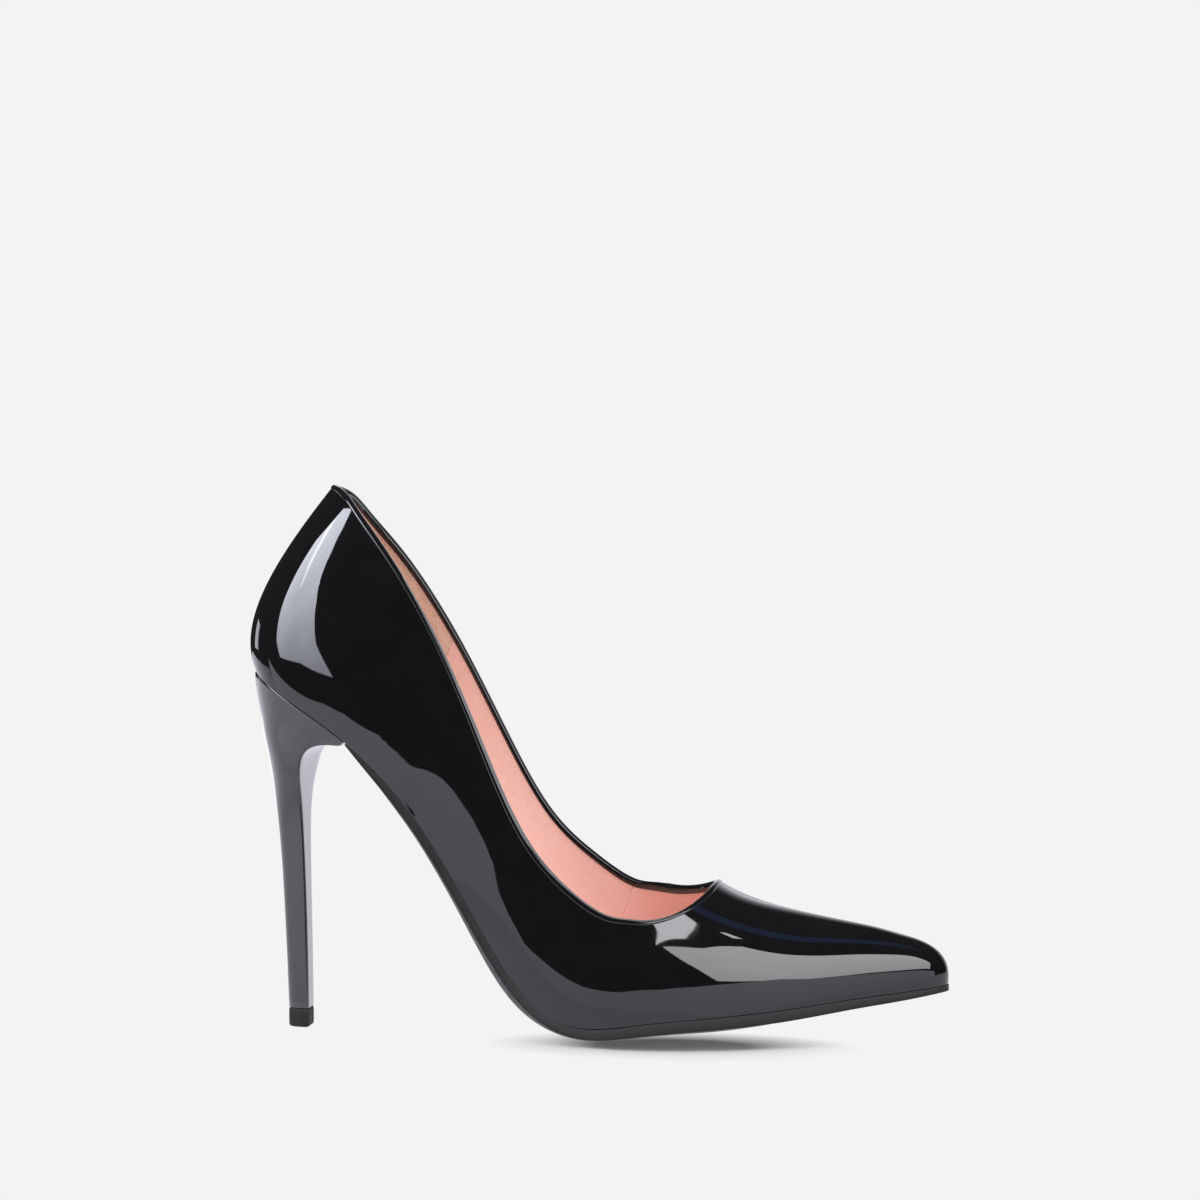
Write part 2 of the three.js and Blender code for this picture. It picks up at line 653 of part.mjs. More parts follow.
function quarterLining(side) {
  const columns = range(GRIP_SEAM + 1, VAMP_SEAM);
  const placed = side === OUTER ? columns : columns.map((i) => RING - i).reverse();
  return layer(placed, range(EDGE_ROW, MARGIN_ROW), LINING);
}

const heelCounter = () => layer(
  range(-COUNTER_END, COUNTER_END), range(EDGE_ROW + 1, MARGIN_ROW), STIFFENER);
const vampInterlining = () => layer(
  range(VAMP_SEAM + 1, RING - VAMP_SEAM - 1), range(EDGE_ROW, BLEND_ROW), STIFFENER);
const PUFF_START = TIP_COLUMN - 5; // column where the toe puff starts
const toePuff = () => layer(
  range(PUFF_START, RING - PUFF_START), range(BLEND_ROW + 1, MARGIN_ROW), STIFFENER);

// ---- Bottom -----------------------------------------------------------------------------------

// Rise of a pad at x and y: a low dome over its outline.
function dome({ from, to, half }, x, y) {
  const along = (2 * x - from - to) / (to - from);
  const across = (y - drift(x)) / half;
  const share = Math.max(1 - along * along - across * across, 0);
  return (CUSHION[1] - CUSHION[0]) * Math.sqrt(share) * share;
}

const padRise = (x, y) => dome(BALL, x, y) + dome(SEAT, x, y);
const cushionTop = (x, y) => CUSHION[0] + CUSHION_EDGE + padRise(x, y);
const sockLow = (x, y) => cushionTop(x, y) + SOCK_LIFT;
const sockHigh = (x, y) => sockLow(x, y) + SOCK;

const toeRoom = (x) => TOE_ROOM.room * smoothstep(TOE_ROOM.from, FEATHER[TOE][0], x);
const insoleBoard = () => cut(
  plate(soleColumns((x) => INSOLE_INSET + toeRoom(x)), INSOLE[0], INSOLE[1]), heelHoles());
const sockLining = () => plate(
  soleColumns((x) => SOCK_INSET + 2 * toeRoom(x)), sockLow, sockHigh);
const cushion = (pad) => plate(padColumns(pad), CUSHION[0], cushionTop);

const marginWidth = cubicSpline(FEATHER.map((row) => row[0]), MARGIN, true);
const insideMargin = (x) => marginWidth(x) + MARGIN_CLEARANCE;
const shankBoard = () => cut(
  plate(soleColumns(insideMargin, 0, SHANK_END), SHANK_BOARD[0], SHANK_BOARD[1]),
  [...heelHoles(), ...RIVETS_AT.map((x) => rivet(x, GAP))]);
const bottomFiller = () => plate(
  soleColumns(insideMargin, SHANK_END + OUTSOLE_GAP), FILLER[0], FILLER[1]);
const steelShank = () => cut(
  plate(padColumns(SHANK), STEEL_SHANK[0], STEEL_SHANK[1], 2),
  RIVETS_AT.map((x) => rivet(x, GAP)));

// The outsole: proud of the upper at the toe, and held back from the edge along the waist.
function outsole() {
  const { waist, forepart, toe, from, to, toeFrom } = OUTSOLE_INSET;
  const inset = (x) => lerp(waist, forepart, smoothstep(from, to, x))
    + (toe - forepart) * smoothstep(toeFrom, FEATHER[TOE][0], x);
  const low = (x) => -OUTSOLE_GAP - outsoleThickness(x);
  const body = plate(soleColumns(inset, OUTSOLE_START), low, -OUTSOLE_GAP, 8);
  const ground = new THREE.BoxGeometry(...GROUND);
  ground.translate(FEATHER[TOE][0] / 2, 0, -GROUND[2] / 2);
  return cut(body, [bare(ground)]);
}

// ---- Heel -------------------------------------------------------------------------------------

const heelColumns = range(0, 4).map((column) => cubicSpline(
  range(0, HEEL.length - 1), HEEL.map((row) => row[column]), false));
const heelRow = (t) => heelColumns.map((value) => value(t));

// Inward normal of the heel's profile at a place, for its back or its breast.
function profileNormal(t, column, inward) {
  const step = 0.05;
  const before = heelRow(Math.max(t - step, 0));
  const after = heelRow(Math.min(t + step, HEEL.length - 1));
  const along = new THREE.Vector2(
    after[column] - before[column], after[column + 1] - before[column + 1]).normalize();
  return new THREE.Vector2(along.y, -along.x).multiplyScalar(inward);
}

// One D-shaped ring of the heel from back [x, z], breast [x, z] and half width.
function heelRing(back, breast, half, roundness, height) {
  const points = [];
  for (let i = 0; i <= HEEL_SIDES; i++) {
    const angle = Math.PI * (i / HEEL_SIDES - 0.5);
    const reach = Math.max(Math.cos(angle), 0) ** roundness;
    const x = i === 0 || i === HEEL_SIDES ? breast[0] : lerp(breast[0], back[0], reach);
    points.push([x, half * Math.sin(angle)]);
  }
  for (const share of [0.5, 0, -0.5]) points.push([breast[0], half * share]);
  const straight = (x) => lerp(back[1], breast[1], (x - back[0]) / (breast[0] - back[0]));
  return points.map(([x, y]) => new THREE.Vector3(x, y, (height ?? straight)(x, y)));
}

function heelRings(inset) {
  const rings = range(0, HEEL_RINGS - 1).map((i) => {
    const t = (HEEL.length - 1) * i / (HEEL_RINGS - 1);
    const [backX, backZ, breastX, breastZ, half] = heelRow(t);
    const back = new THREE.Vector2(backX, backZ).addScaledVector(profileNormal(t, 0, 1), inset);
    const breast = new THREE.Vector2(breastX, breastZ)
      .addScaledVector(profileNormal(t, 2, -1), inset);
    if (i === 0) {
      back.y = backZ;
      breast.y = breastZ;
    }
    const roundness = lerp(STEM_ROUNDNESS, SEAT_ROUNDNESS, t / (HEEL.length - 1));
    return heelRing(back.toArray(), breast.toArray(), half - inset, roundness);
  });
  const { back, breast, half, level } = HEEL_SEAT;
  const seat = heelRing([back + inset, 0], [breast - inset, 0], half - inset, SEAT_ROUNDNESS,
    (x, y) => bottomPoint(x, y, level).z);
  return [...rings, seat];
}

// Closes a loft of rings with a fan over its first and its last ring.
function capped(rings) {
  const triangles = gridTriangles(rings.map((ring) => [...ring, ring[0]]), false);
  for (const [ring, turn] of [[rings[0], 1], [rings[rings.length - 1], -1]]) {
    const centre = ring.reduce((sum, point) => sum.add(point), new THREE.Vector3())
      .divideScalar(ring.length);
    ring.forEach((point, i) => {
      const next = ring[(i + 1) % ring.length];
      triangles.push(turn > 0 ? [point, next, centre] : [next, point, centre]);
    });
  }
  return solidFrom(triangles);
}

function heelCover() {
  const across = (rings) => rings[0].map((_, i) => rings.map((ring) => ring[i]));
  return slab(across(heelRings(0)), across(heelRings(COVER)), true);
}

const tubeFoot = () => new THREE.Vector3(TUBE.foot[0], 0, TUBE.foot[1]);
const tubeWay = () => new THREE.Vector3(TUBE.head[0], 0, TUBE.head[1]).sub(tubeFoot());

function heelTube() {
  const length = tubeWay().length();
  const { outer, inner } = TUBE;
  const profile = [[inner, 0], [outer, 0], [outer, length], [inner, length], [inner, 0]];
  return turned(profile, tubeFoot(), tubeWay(), 16);
}

function heelCore() {
  const below = 2;
  const bore = turned(rod(TUBE.outer + GAP, tubeWay().length() + below + 1),
    tubeFoot().addScaledVector(tubeWay().normalize(), -below), tubeWay(), 16);
  return cut(capped(heelRings(COVER + GAP)), [bore, ...heelHoles()]);
}

function topPiece() {
  const [backX, , breastX, , half] = HEEL[0];
  const ring = (inset, z) => heelRing(
    [backX + inset, z], [breastX - inset, z], half - inset, STEM_ROUNDNESS);
  const body = capped([ring(CHAMFER, 0), ring(0, CHAMFER), ring(0, TOP_PIECE_HEIGHT)]);
  return cut(body, [topPieceDowel(GAP)]);
}

function topPieceDowel(grow = 0) {
  const start = new THREE.Vector3(TUBE.foot[0], 0, DOWEL.foot - grow);
  return turned(rod(DOWEL.radius + grow, DOWEL.length + grow), start, tubeWay(), 10);
}

// ---- Assembly ---------------------------------------------------------------------------------

const finish = (colour, roughness, metalness = 0) => new THREE.MeshStandardMaterial(
  { color: colour, roughness, metalness });
const MATERIALS = {
  patent: finish(COLOURS.patent, 0.08),
  lining: finish(COLOURS.lining, 0.5),
  grip: finish(COLOURS.grip, 0.9),
  board: finish(COLOURS.board, 0.9),
  cork: finish(COLOURS.cork, 0.95),
  foam: finish(COLOURS.foam, 0.95),
  steel: finish(COLOURS.steel, 0.35, 1),
  plastic: finish(COLOURS.plastic, 0.5),
  rubber: finish(COLOURS.rubber, 0.7),
  cover: finish(COLOURS.cover, 0.3),
};

const pump = new THREE.Group();

function add(name, geometry, material) {
  const mesh = new THREE.Mesh(geometry, MATERIALS[material]);
  mesh.name = name;
  pump.add(mesh);
}

add('upper_shell', upperShell(), 'patent');
add('topline_binding', toplineBinding(), 'patent');
add('vamp_lining', vampLining(), 'lining');
add('quarter_lining_outer', quarterLining(OUTER), 'lining');
add('quarter_lining_inner', quarterLining(INNER), 'lining');
add('heel_grip', heelGrip(), 'grip');
add('heel_counter', heelCounter(), 'board');
add('vamp_interlining', vampInterlining(), 'foam');
add('toe_puff', toePuff(), 'board');
add('insole_board', insoleBoard(), 'board');
add('shank_board', shankBoard(), 'board');
add('steel_shank', steelShank(), 'steel');
add('shank_rivet_rear', rivet(RIVETS_AT[0]), 'steel');
add('shank_rivet_front', rivet(RIVETS_AT[1]), 'steel');
add('bottom_filler', bottomFiller(), 'cork');
add('ball_cushion', cushion(BALL), 'foam');
add('heel_cushion', cushion(SEAT), 'foam');
add('sock_lining', sockLining(), 'lining');
add('outsole', outsole(), 'rubber');
add('heel_core', heelCore(), 'plastic');
add('heel_cover', heelCover(), 'cover');
add('heel_tube', heelTube(), 'steel');
add('top_piece', topPiece(), 'rubber');
add('top_piece_dowel', topPieceDowel(), 'steel');
add('heel_screw', screw(), 'steel');
NAILS_AT.forEach((place, i) => add(`heel_nail_${i + 1}`, nail(place), 'steel'));

// The origin is the middle of the box's bottom, where the shoe stands.
const box = new THREE.Box3().setFromObject(pump);
const centre = box.getCenter(new THREE.Vector3());
pump.position.set(-centre.x, -centre.y, -box.min.z);

export default pump;
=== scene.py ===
"""A pointed black patent pump for the right foot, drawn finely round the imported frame.

The shoe is a last surface lofted through stations, as in the CAD part: the upper, its linings
and its binding are offsets of that surface, and the sole's layers follow its feather line.
Lengths in the tables are millimetres, measured from the back of the heel; MM turns them into
metres and SHIFT moves them into the frame.
"""
import math

import bmesh
import bpy
import numpy as np
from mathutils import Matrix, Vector

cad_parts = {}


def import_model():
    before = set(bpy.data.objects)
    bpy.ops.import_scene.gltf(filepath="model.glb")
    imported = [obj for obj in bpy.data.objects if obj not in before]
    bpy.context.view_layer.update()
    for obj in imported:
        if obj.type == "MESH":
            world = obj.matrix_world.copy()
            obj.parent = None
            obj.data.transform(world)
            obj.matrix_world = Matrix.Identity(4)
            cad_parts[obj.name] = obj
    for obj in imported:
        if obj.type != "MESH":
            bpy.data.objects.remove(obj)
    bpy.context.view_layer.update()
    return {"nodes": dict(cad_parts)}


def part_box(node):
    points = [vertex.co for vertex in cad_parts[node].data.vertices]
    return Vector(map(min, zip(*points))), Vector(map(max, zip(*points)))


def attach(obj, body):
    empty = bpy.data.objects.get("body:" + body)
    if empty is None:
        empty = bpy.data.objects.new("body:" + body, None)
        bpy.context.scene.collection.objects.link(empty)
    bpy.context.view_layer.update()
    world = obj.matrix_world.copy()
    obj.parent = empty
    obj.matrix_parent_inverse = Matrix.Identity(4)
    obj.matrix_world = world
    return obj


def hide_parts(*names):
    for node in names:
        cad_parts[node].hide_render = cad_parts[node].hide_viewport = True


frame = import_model()
MM = 0.001

# ---- Stations of the last --------------------------------------------------------------------

OUTER = -1  # lateral side, towards -Y
INNER = 1  # medial side, towards +Y

# Feather line: x, z, half width outer side, half width inner side.
FEATHER = np.array([
    [-1.4, 119.4, 0, 0],
    [2.8, 117.4, 14, 14],
    [11, 112.3, 20.8, 20.8],
    [25, 103.4, 24, 24],
    [42, 88.9, 23.4, 22.8],
    [58, 69, 21.4, 19.8],
    [73.5, 43.3, 20.6, 17.4],
    [90, 18.5, 24.6, 19.6],
    [108, 6.9, 31.6, 26.2],
    [130, 8, 35.8, 33.4],
    [154, 10.5, 33.2, 33.6],
    [178, 12.6, 25.8, 27.4],
    [200, 15.2, 17.2, 18.2],
    [216, 16.8, 11.2, 11.6],
    [225.2, 17.8, 6.2, 6.4],
    [229, 18.1, 0, 0],
])
# Points half way up the quarters and on their topline, in the same form.
WALL = np.array([
    [1.6, 147.4, 0, 0],
    [6.9, 148, 12.7, 12.7],
    [16, 143, 20.8, 20.8],
    [33, 131, 25.2, 25.2],
    [52, 111, 25.8, 25.6],
    [67, 85.5, 25.6, 24.6],
    [81.5, 57.8, 26.6, 24.6],
    [97, 36, 30, 27],
    [114, 25.5, 34.3, 31],
    [131.5, 26, 36, 34.5],
])
TOPLINE = np.array([
    [24.7, 181.2, 0, 0],
    [29.4, 179.4, 9.5, 9.5],
    [36.2, 172.4, 16.6, 16.6],
    [47.5, 158.2, 22.2, 22.2],
    [63, 132.8, 25.4, 25.4],
    [77.4, 101.2, 27.5, 27.5],
    [91, 71.4, 29.8, 29.6],
    [106, 52.7, 32, 31.4],
    [120.5, 43, 33, 32],
    [133, 41, 30.8, 30.6],
])
# Middle line over the foot: an imagined instep to the throat, then the vamp's ridge.
CROWN = np.array([
    [70, 275], [72, 272], [76, 262], [81, 240], [94, 198], [105, 152], [115, 116], [126, 98],
    [133, 86], [140, 70], [153.2, 51.2], [176, 42.4], [194, 38.7], [205, 36.5], [211, 34.9],
    [213.5, 34.2],
])
# How the vamp leaves the feather line (forward, outward, up) and arrives at its ridge
# (forward, half width, drop).
RISE = [(0, 1.6, 22.5), (0, 1.5, 17), (1, 1.2, 13.5), (1.5, 1, 12), (1.5, 0.8, 10.5),
        (1.3, 0, 9.4)]
SHOULDER = [(0, 19, 0), (0, 14, 0), (1.5, 9.5, 0.4), (5, 6.3, 1.3), (9.5, 3.8, 2.4),
            (11, 0, 2.6)]
THROAT = len(WALL)
TOE = len(FEATHER) - 1
WALL_AT = 0.2
TOPLINE_AT = 0.4
INNER_RISE = [0, -0.006, -0.014, -0.02, -0.024, -0.012, 0.015, 0.04, 0.05, 0.08]
CURVE_START = 8.8
CURVE_POWER = 1.1
TOE_DRIFT = 3
TOE_DRIFT_FROM = 150

# Depths of the upper's layers below its outer face.
UPPER = (0, 1)
STIFFENER = (1.15, 1.75)
LINING = (1.9, 2.5)
GRIP = (1.9, 2.75)
RIM = 3  # width of the flat rim of the bottom
MARGIN = [8, 8, 8, 9, 10, 10, 9, 9, 11, 13, 13, 11, 8, 6, 4.8, 4.8]  # lasted margin by station
BOTTOM_CROWN = [(33, 0), (42, 2.4), (60, 3.5), (78, 4.2), (93, 5.4), (105, 4.5), (120, 3.7),
                (140, 3.9), (155, 4), (172, 2.8), (195, 0.9), (229, 0)]
OUTSOLE = [(33, 0.3), (38, 1.4), (46, 2.4), (60, 2.7), (90, 2.9), (115, 3.2), (140, 3.4),
           (185, 3.1), (205, 2.5), (220, 1.9), (229, 1.5)]
CUSHION_LEVEL = 5.1
BALL = (100, 168, 19)  # from, to, half width of the pads
SEAT = (5, 52, 13)

# Heel: x, z at the back, x, z at the breast, half width at the breast.
HEEL = np.array([
    [8.8, 6.5, 16.3, 6.5, 4.4],
    [7.8, 30, 16, 30, 4.6],
    [6.4, 56, 15.4, 56, 5.5],
    [4.9, 73, 15.1, 75, 8.4],
    [3.8, 84, 15.6, 85, 14],
    [2.5, 92, 17, 91.4, 17],
    [1.2, 98, 20.6, 95, 18.6],
    [0, 105.3, 26.2, 96, 20.2],
    [-1.2, 112, 30.6, 96, 21.8],
])

# The frame's place: the heel's back at the foot of its stem, from the top piece's own box.
tip_low, tip_high = (np.array(corner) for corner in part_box("top_piece"))
SHIFT = np.array([
    tip_low[0] - HEEL[0, 0] * MM, (tip_low[1] + tip_high[1]) / 2, tip_low[2]])


# ---- Curves ----------------------------------------------------------------------------------

def spline(knots, values, level=False):
    """A cubic spline as a function of an array; its ends are level or straight."""
    knots = np.asarray(knots, float)
    values = np.asarray(values, float)
    count = len(knots)
    gaps = np.diff(knots)
    slopes = np.diff(values) / gaps
    system = np.zeros((count, count))
    right = np.zeros(count)
    for i in range(count - 1):
        system[i, i] += 2 * gaps[i]
        system[i + 1, i + 1] += 2 * gaps[i]
        system[i, i + 1] = system[i + 1, i] = gaps[i]
        right[i] += 6 * slopes[i]
        right[i + 1] -= 6 * slopes[i]
    if not level:
        for end in (0, count - 1):
            system[end] = 0
            system[end, end] = 1
            right[end] = 0
    bend = np.linalg.solve(system, right)

    def at(places):
        t = np.clip(places, knots[0], knots[-1])
        i = np.clip(np.searchsorted(knots, t) - 1, 0, count - 2)
        a = (knots[i + 1] - t) / gaps[i]
        b = (t - knots[i]) / gaps[i]
        curve = ((a ** 3 - a) * bend[i] + (b ** 3 - b) * bend[i + 1]) * gaps[i] ** 2 / 6
        return a * values[i] + b * values[i + 1] + curve

    return at


def lerp(a, b, t):
    return a + (b - a) * t


def smoothstep(low, high, at):
    t = np.clip((np.asarray(at, float) - low) / (high - low), 0, 1)
    return t * t * (3 - 2 * t)


def drift(x):
    """How far the middle of the shoe has moved towards the big toe at x."""
    return TOE_DRIFT * smoothstep(TOE_DRIFT_FROM, FEATHER[TOE, 0], x)


def unit(vectors):
    return vectors / np.maximum(np.linalg.norm(vectors, axis=-1, keepdims=True), 1e-9)


# ---- The last --------------------------------------------------------------------------------

steps = np.diff(FEATHER[:, :3], axis=0)
KNOTS = np.concatenate([[0], np.cumsum(np.sqrt(np.linalg.norm(steps, axis=1)))])


def knot_at(station):
    return np.interp(station, np.arange(TOE + 1), KNOTS)


def bernstein(t):
    return np.array([(1 - t) ** 3, 3 * t * (1 - t) ** 2, 3 * t * t * (1 - t), t ** 3])


def section(station, side):
    """The four control points (x, half width, z) of one station's section."""
    half = 2 if side == OUTER else 3
    start = FEATHER[station][[0, half, 1]]
    end = np.array([CROWN[station, 0], 0, CROWN[station, 1]])
    if station < THROAT:
        on_wall = WALL[station][[0, half, 1]]
        on_top = TOPLINE[station][[0, half, 1]]
        low, high = bernstein(WALL_AT), bernstein(TOPLINE_AT)
        first = on_wall - low[0] * start - low[3] * end
        second = on_top - high[0] * start - high[3] * end
        inner = np.linalg.solve([low[1:3], high[1:3]], [first, second])
        return [start, inner[0], inner[1], end]
    forward, out, up = RISE[station - THROAT]
    reach, width, drop = SHOULDER[station - THROAT]
    widen = FEATHER[station, half] / max(FEATHER[station, 2], 1)
    width *= 0 if station == TOE else widen
    return [start, start + [forward, out, up], end + [reach, width, -drop], end]


def last_surface(side):
    """The last on one side, as a function of knots and ways up its sections."""
    points = np.array([section(station, side) for station in range(TOE + 1)])
    rails = [[spline(KNOTS, points[:, control, axis], axis != 1) for axis in range(3)]
             for control in range(4)]

    def at(knots, ways):
        weights = bernstein(np.asarray(ways, float))
        x, half, z = (sum(weights[c] * rails[c][axis](knots) for c in range(4))
                      for axis in range(3))
        return np.stack([x, side * np.maximum(half, 0) + drift(x), z], axis=-1)

    return at


LAST = {OUTER: last_surface(OUTER), INNER: last_surface(INNER)}
inner_rise = spline(KNOTS[:THROAT], INNER_RISE)
feather_height = spline(FEATHER[:, 0], FEATHER[:, 1])
bottom_crown = spline(*zip(*BOTTOM_CROWN))
outsole_thickness = spline(*zip(*OUTSOLE))
EDGE_KNOTS = np.linspace(0, KNOTS[TOE], 1200)
EDGE = {side: LAST[side](EDGE_KNOTS, np.zeros(1200)) for side in (OUTER, INNER)}


def bottom_normal(x):
    rise = feather_height(x + 0.5) - feather_height(x - 0.5)
    return unit(np.stack([-rise, np.zeros_like(rise), np.ones_like(rise)], axis=-1))


def half_width(x, side):
    return np.abs(np.interp(x, EDGE[side][:, 0], EDGE[side][:, 1]) - drift(x))


def bottom_point(x, y, level):
    """A point of the bottom in plan, at a level above the lasted margin's outer face."""
    x, y, level = np.broadcast_arrays(*(np.asarray(v, float) for v in (x, y, level)))
    offset = y - drift(x)
    half = np.where(offset < 0, half_width(x, OUTER), half_width(x, INNER))
    across = np.minimum(np.abs(offset) / np.maximum(half - RIM, 0.1), 1)
    depth = np.maximum(bottom_crown(x), 0) * (1 - across ** 2)
    base = np.stack([x, y, feather_height(x)], axis=-1)
    return base + bottom_normal(x) * (level - depth)[..., None]


def outline(side, knots, inset):
    """The sole's outline in plan, moved inwards by an inset."""
    step = 0.02
    here = LAST[side](knots, 0 * knots)
    ahead = LAST[side](np.minimum(knots + step, KNOTS[TOE]), 0 * knots)
    behind = LAST[side](np.maximum(knots - step, 0), 0 * knots)
    along = ahead - behind
    inward = np.stack([side * along[:, 1], -side * along[:, 0]], axis=-1)
    inward[knots <= 0] = (1, 0)
    inward[knots >= KNOTS[TOE]] = (-1, 0)
    return here[:, :2] + unit(inward) * np.reshape(inset, (-1, 1))


# ---- Columns over the upper ------------------------------------------------------------------

# Columns run from the topline down to the feather line. Their stations are nearly even along
# the quarters; round the throat they fan out, and the last one follows the ridge to the toe.
QUARTER_COLUMNS = 96
THROAT_COLUMNS = 84
GRIP_SEAM = 4  # stations of the lining's seams
VAMP_SEAM = 8
SEAM = 0.02  # half a seam's groove, in stations
CURVE_SAMPLES = 60
PATH_SAMPLES = 320
KNOTS_PER_WAY = 12  # knots along the foot that count as one whole section up it


def topline_way(knots, side):
    ways = np.full(np.shape(knots), TOPLINE_AT)
    if side == INNER:
        ways = ways + inner_rise(np.minimum(knots, KNOTS[THROAT - 1]))
    return ways


def column_path(side, station, fan):
    """Fine points down one column, and the knot where it meets the feather line."""
    start = knot_at(station)
    top, foot = start, start
    way = topline_way(start, side)
    if fan > 0:
        top = lerp(start, KNOTS[THROAT], math.sin(fan * math.pi / 2))
        rise = (1 - math.cos(fan * math.pi / 2)) ** CURVE_POWER
        way = lerp(topline_way(top, side), 1, rise)
        foot = lerp(start, KNOTS[TOE], fan)
    power = 2 * (1 - fan)
    angles = np.linspace(0, math.pi / 2, CURVE_SAMPLES)[1:-1]
    knots = lerp(top, foot, np.sin(angles) ** power)
    ways = way * np.cos(angles) ** power
    if fan >= 1:
        knots, ways = np.array([foot]), np.array([way])
    knots = np.concatenate([[top], knots, [foot]])
    ways = np.concatenate([[way], ways, [0]])
    spread = np.concatenate([[0], np.cumsum(
        np.abs(np.diff(knots)) / KNOTS_PER_WAY + np.abs(np.diff(ways)) + 1e-9)])
    even = np.linspace(0, spread[-1], PATH_SAMPLES)
    return LAST[side](np.interp(even, spread, knots), np.interp(even, spread, ways)), foot


def half_ring():
    """Station and fan of each column from the back of the heel to the toe."""
    stations = CURVE_START * np.linspace(0, 1, QUARTER_COLUMNS + 1) ** 1.1
    for seam in (GRIP_SEAM, VAMP_SEAM):
        stations = stations[np.abs(stations - seam) > 1.5 * SEAM]
        stations = np.append(stations, [seam - SEAM, seam, seam + SEAM])
    stations = np.sort(stations)
    fans = 1 - (1 - np.linspace(0, 1, THROAT_COLUMNS + 1)[1:]) ** 1.25
    return ([(float(station), 0.0) for station in stations]
            + [(CURVE_START, float(fan)) for fan in fans])


HALF = half_ring()
TIP = len(HALF) - 1
GRIP_COLUMN, VAMP_COLUMN = (HALF.index((float(seam), 0.0)) for seam in (GRIP_SEAM, VAMP_SEAM))
RING = 2 * TIP
PATHS = ([column_path(OUTER, *spot) for spot in HALF]
         + [column_path(INNER, *spot) for spot in HALF[-2:0:-1]])
SIDES = [OUTER] * (TIP + 1) + [INNER] * (TIP - 1)
FEET = np.array([foot for path, foot in PATHS])
MARGIN_WIDTH = np.interp(FEET, KNOTS, MARGIN)
PATH_POINTS = np.array([path for path, foot in PATHS])
PATH_LENGTHS = np.concatenate([np.zeros((RING, 1)), np.cumsum(
    np.linalg.norm(np.diff(PATH_POINTS, axis=1), axis=2), axis=1)], axis=1)


def rows_at(distances):
    """Points at distances down each column; distances is (columns, rows)."""
    return np.array([
        np.stack([np.interp(d, lengths, points[:, axis]) for axis in range(3)], axis=-1)
        for d, lengths, points in zip(distances, PATH_LENGTHS, PATH_POINTS)])


def surface_normals(grid):
    """Outward normals of a ring of columns of points."""
    around = np.roll(grid, -1, axis=0) - np.roll(grid, 1, axis=0)
    along = np.empty_like(grid)
    along[:, 1:-1] = grid[:, 2:] - grid[:, :-2]
    along[:, 0] = grid[:, 1] - grid[:, 0]
    along[:, -1] = grid[:, -1] - grid[:, -2]
    return unit(-np.cross(around, along))


class Wall:
    """Rows of the last's wall from a distance below the topline to under the insole."""

    def __init__(self, first, wall_rows=58, margin_rows=5):
        total = PATH_LENGTHS[:, -1:]
        share = np.linspace(0, 1, wall_rows)[None] ** 1.25
        self.down = first + (total - first) * share
        self.grid = rows_at(self.down)
        normals = surface_normals(self.grid)
        down = -bottom_normal(self.grid[:, -1, 0])
        corner = normals[:, -1]
        facing = 1 + np.sum(corner * down, axis=-1, keepdims=True)
        normals[:, -1] = (corner + down) / facing
        under, under_down = [], []
        for row in range(1, margin_rows + 1):
            inset = lerp(RIM - 0.2, MARGIN_WIDTH, (row - 1) / (margin_rows - 1))
            plan = np.empty((RING, 2))
            for side in (OUTER, INNER):
                chosen = np.array(SIDES) == side
                plan[chosen] = outline(side, FEET[chosen], inset[chosen])
            points = bottom_point(plan[:, 0], plan[:, 1], 0.0)
            under.append(points)
            under_down.append(-bottom_normal(points[:, 0]))
        self.grid = np.concatenate([self.grid, np.stack(under, axis=1)], axis=1)
        self.out = np.concatenate([normals, np.stack(under_down, axis=1)], axis=1)
        self.feather_row = wall_rows - 1

    def face(self, depth, columns=None, rows=slice(None)):
        columns = np.arange(RING) if columns is None else np.mod(columns, RING)
        depth = np.asarray(depth)
        if depth.ndim == 2:
            depth = depth[..., None]
        return self.grid[columns][:, rows] - self.out[columns][:, rows] * depth


# ---- Meshes ----------------------------------------------------------------------------------

def add_object(name, data):
    piece = bpy.data.objects.new(name, data)
    bpy.context.collection.objects.link(piece)
    return piece


def make_object(name, points, faces, sharp=0.7):
    """A smooth-shaded object from points in millimetres, with edges sharper than an angle."""
    mesh = bpy.data.meshes.new(name)
    mesh.from_pydata((np.asarray(points) * MM + SHIFT).tolist(), [], faces)
    work = bmesh.new()
    work.from_mesh(mesh)
    bmesh.ops.remove_doubles(work, verts=work.verts, dist=1e-7)
    bmesh.ops.dissolve_degenerate(work, edges=work.edges, dist=1e-7)
    bmesh.ops.recalc_face_normals(work, faces=work.faces)
    work.to_mesh(mesh)
    work.free()
    mesh.shade_smooth()
    mesh.set_sharp_from_angle(angle=sharp)
    return add_object(name, mesh)


def slab_faces(columns, rows, closed):
    """Faces of a closed slab whose front grid comes before its back grid."""
    def front(i, j):
        return (i % columns) * rows + j

    def back(i, j):
        return columns * rows + front(i, j)

    faces = []
    spans = columns if closed else columns - 1
    for i in range(spans):
        for j in range(rows - 1):
            faces.append((front(i, j), front(i + 1, j), front(i + 1, j + 1), front(i, j + 1)))
            faces.append((back(i, j), back(i, j + 1), back(i + 1, j + 1), back(i + 1, j)))
        for j in (0, rows - 1):
            faces.append((front(i, j), back(i, j), back(i + 1, j), front(i + 1, j)))
    for i in () if closed else (0, columns - 1):
        for j in range(rows - 1):
            faces.append((front(i, j), front(i, j + 1), back(i, j + 1), back(i, j)))
    return faces


def slab(name, front, back, closed=False, sharp=0.7):
    columns, rows = front.shape[:2]
    points = np.concatenate([front.reshape(-1, 3), back.reshape(-1, 3)])
    return make_object(name, points, slab_faces(columns, rows, closed), sharp)


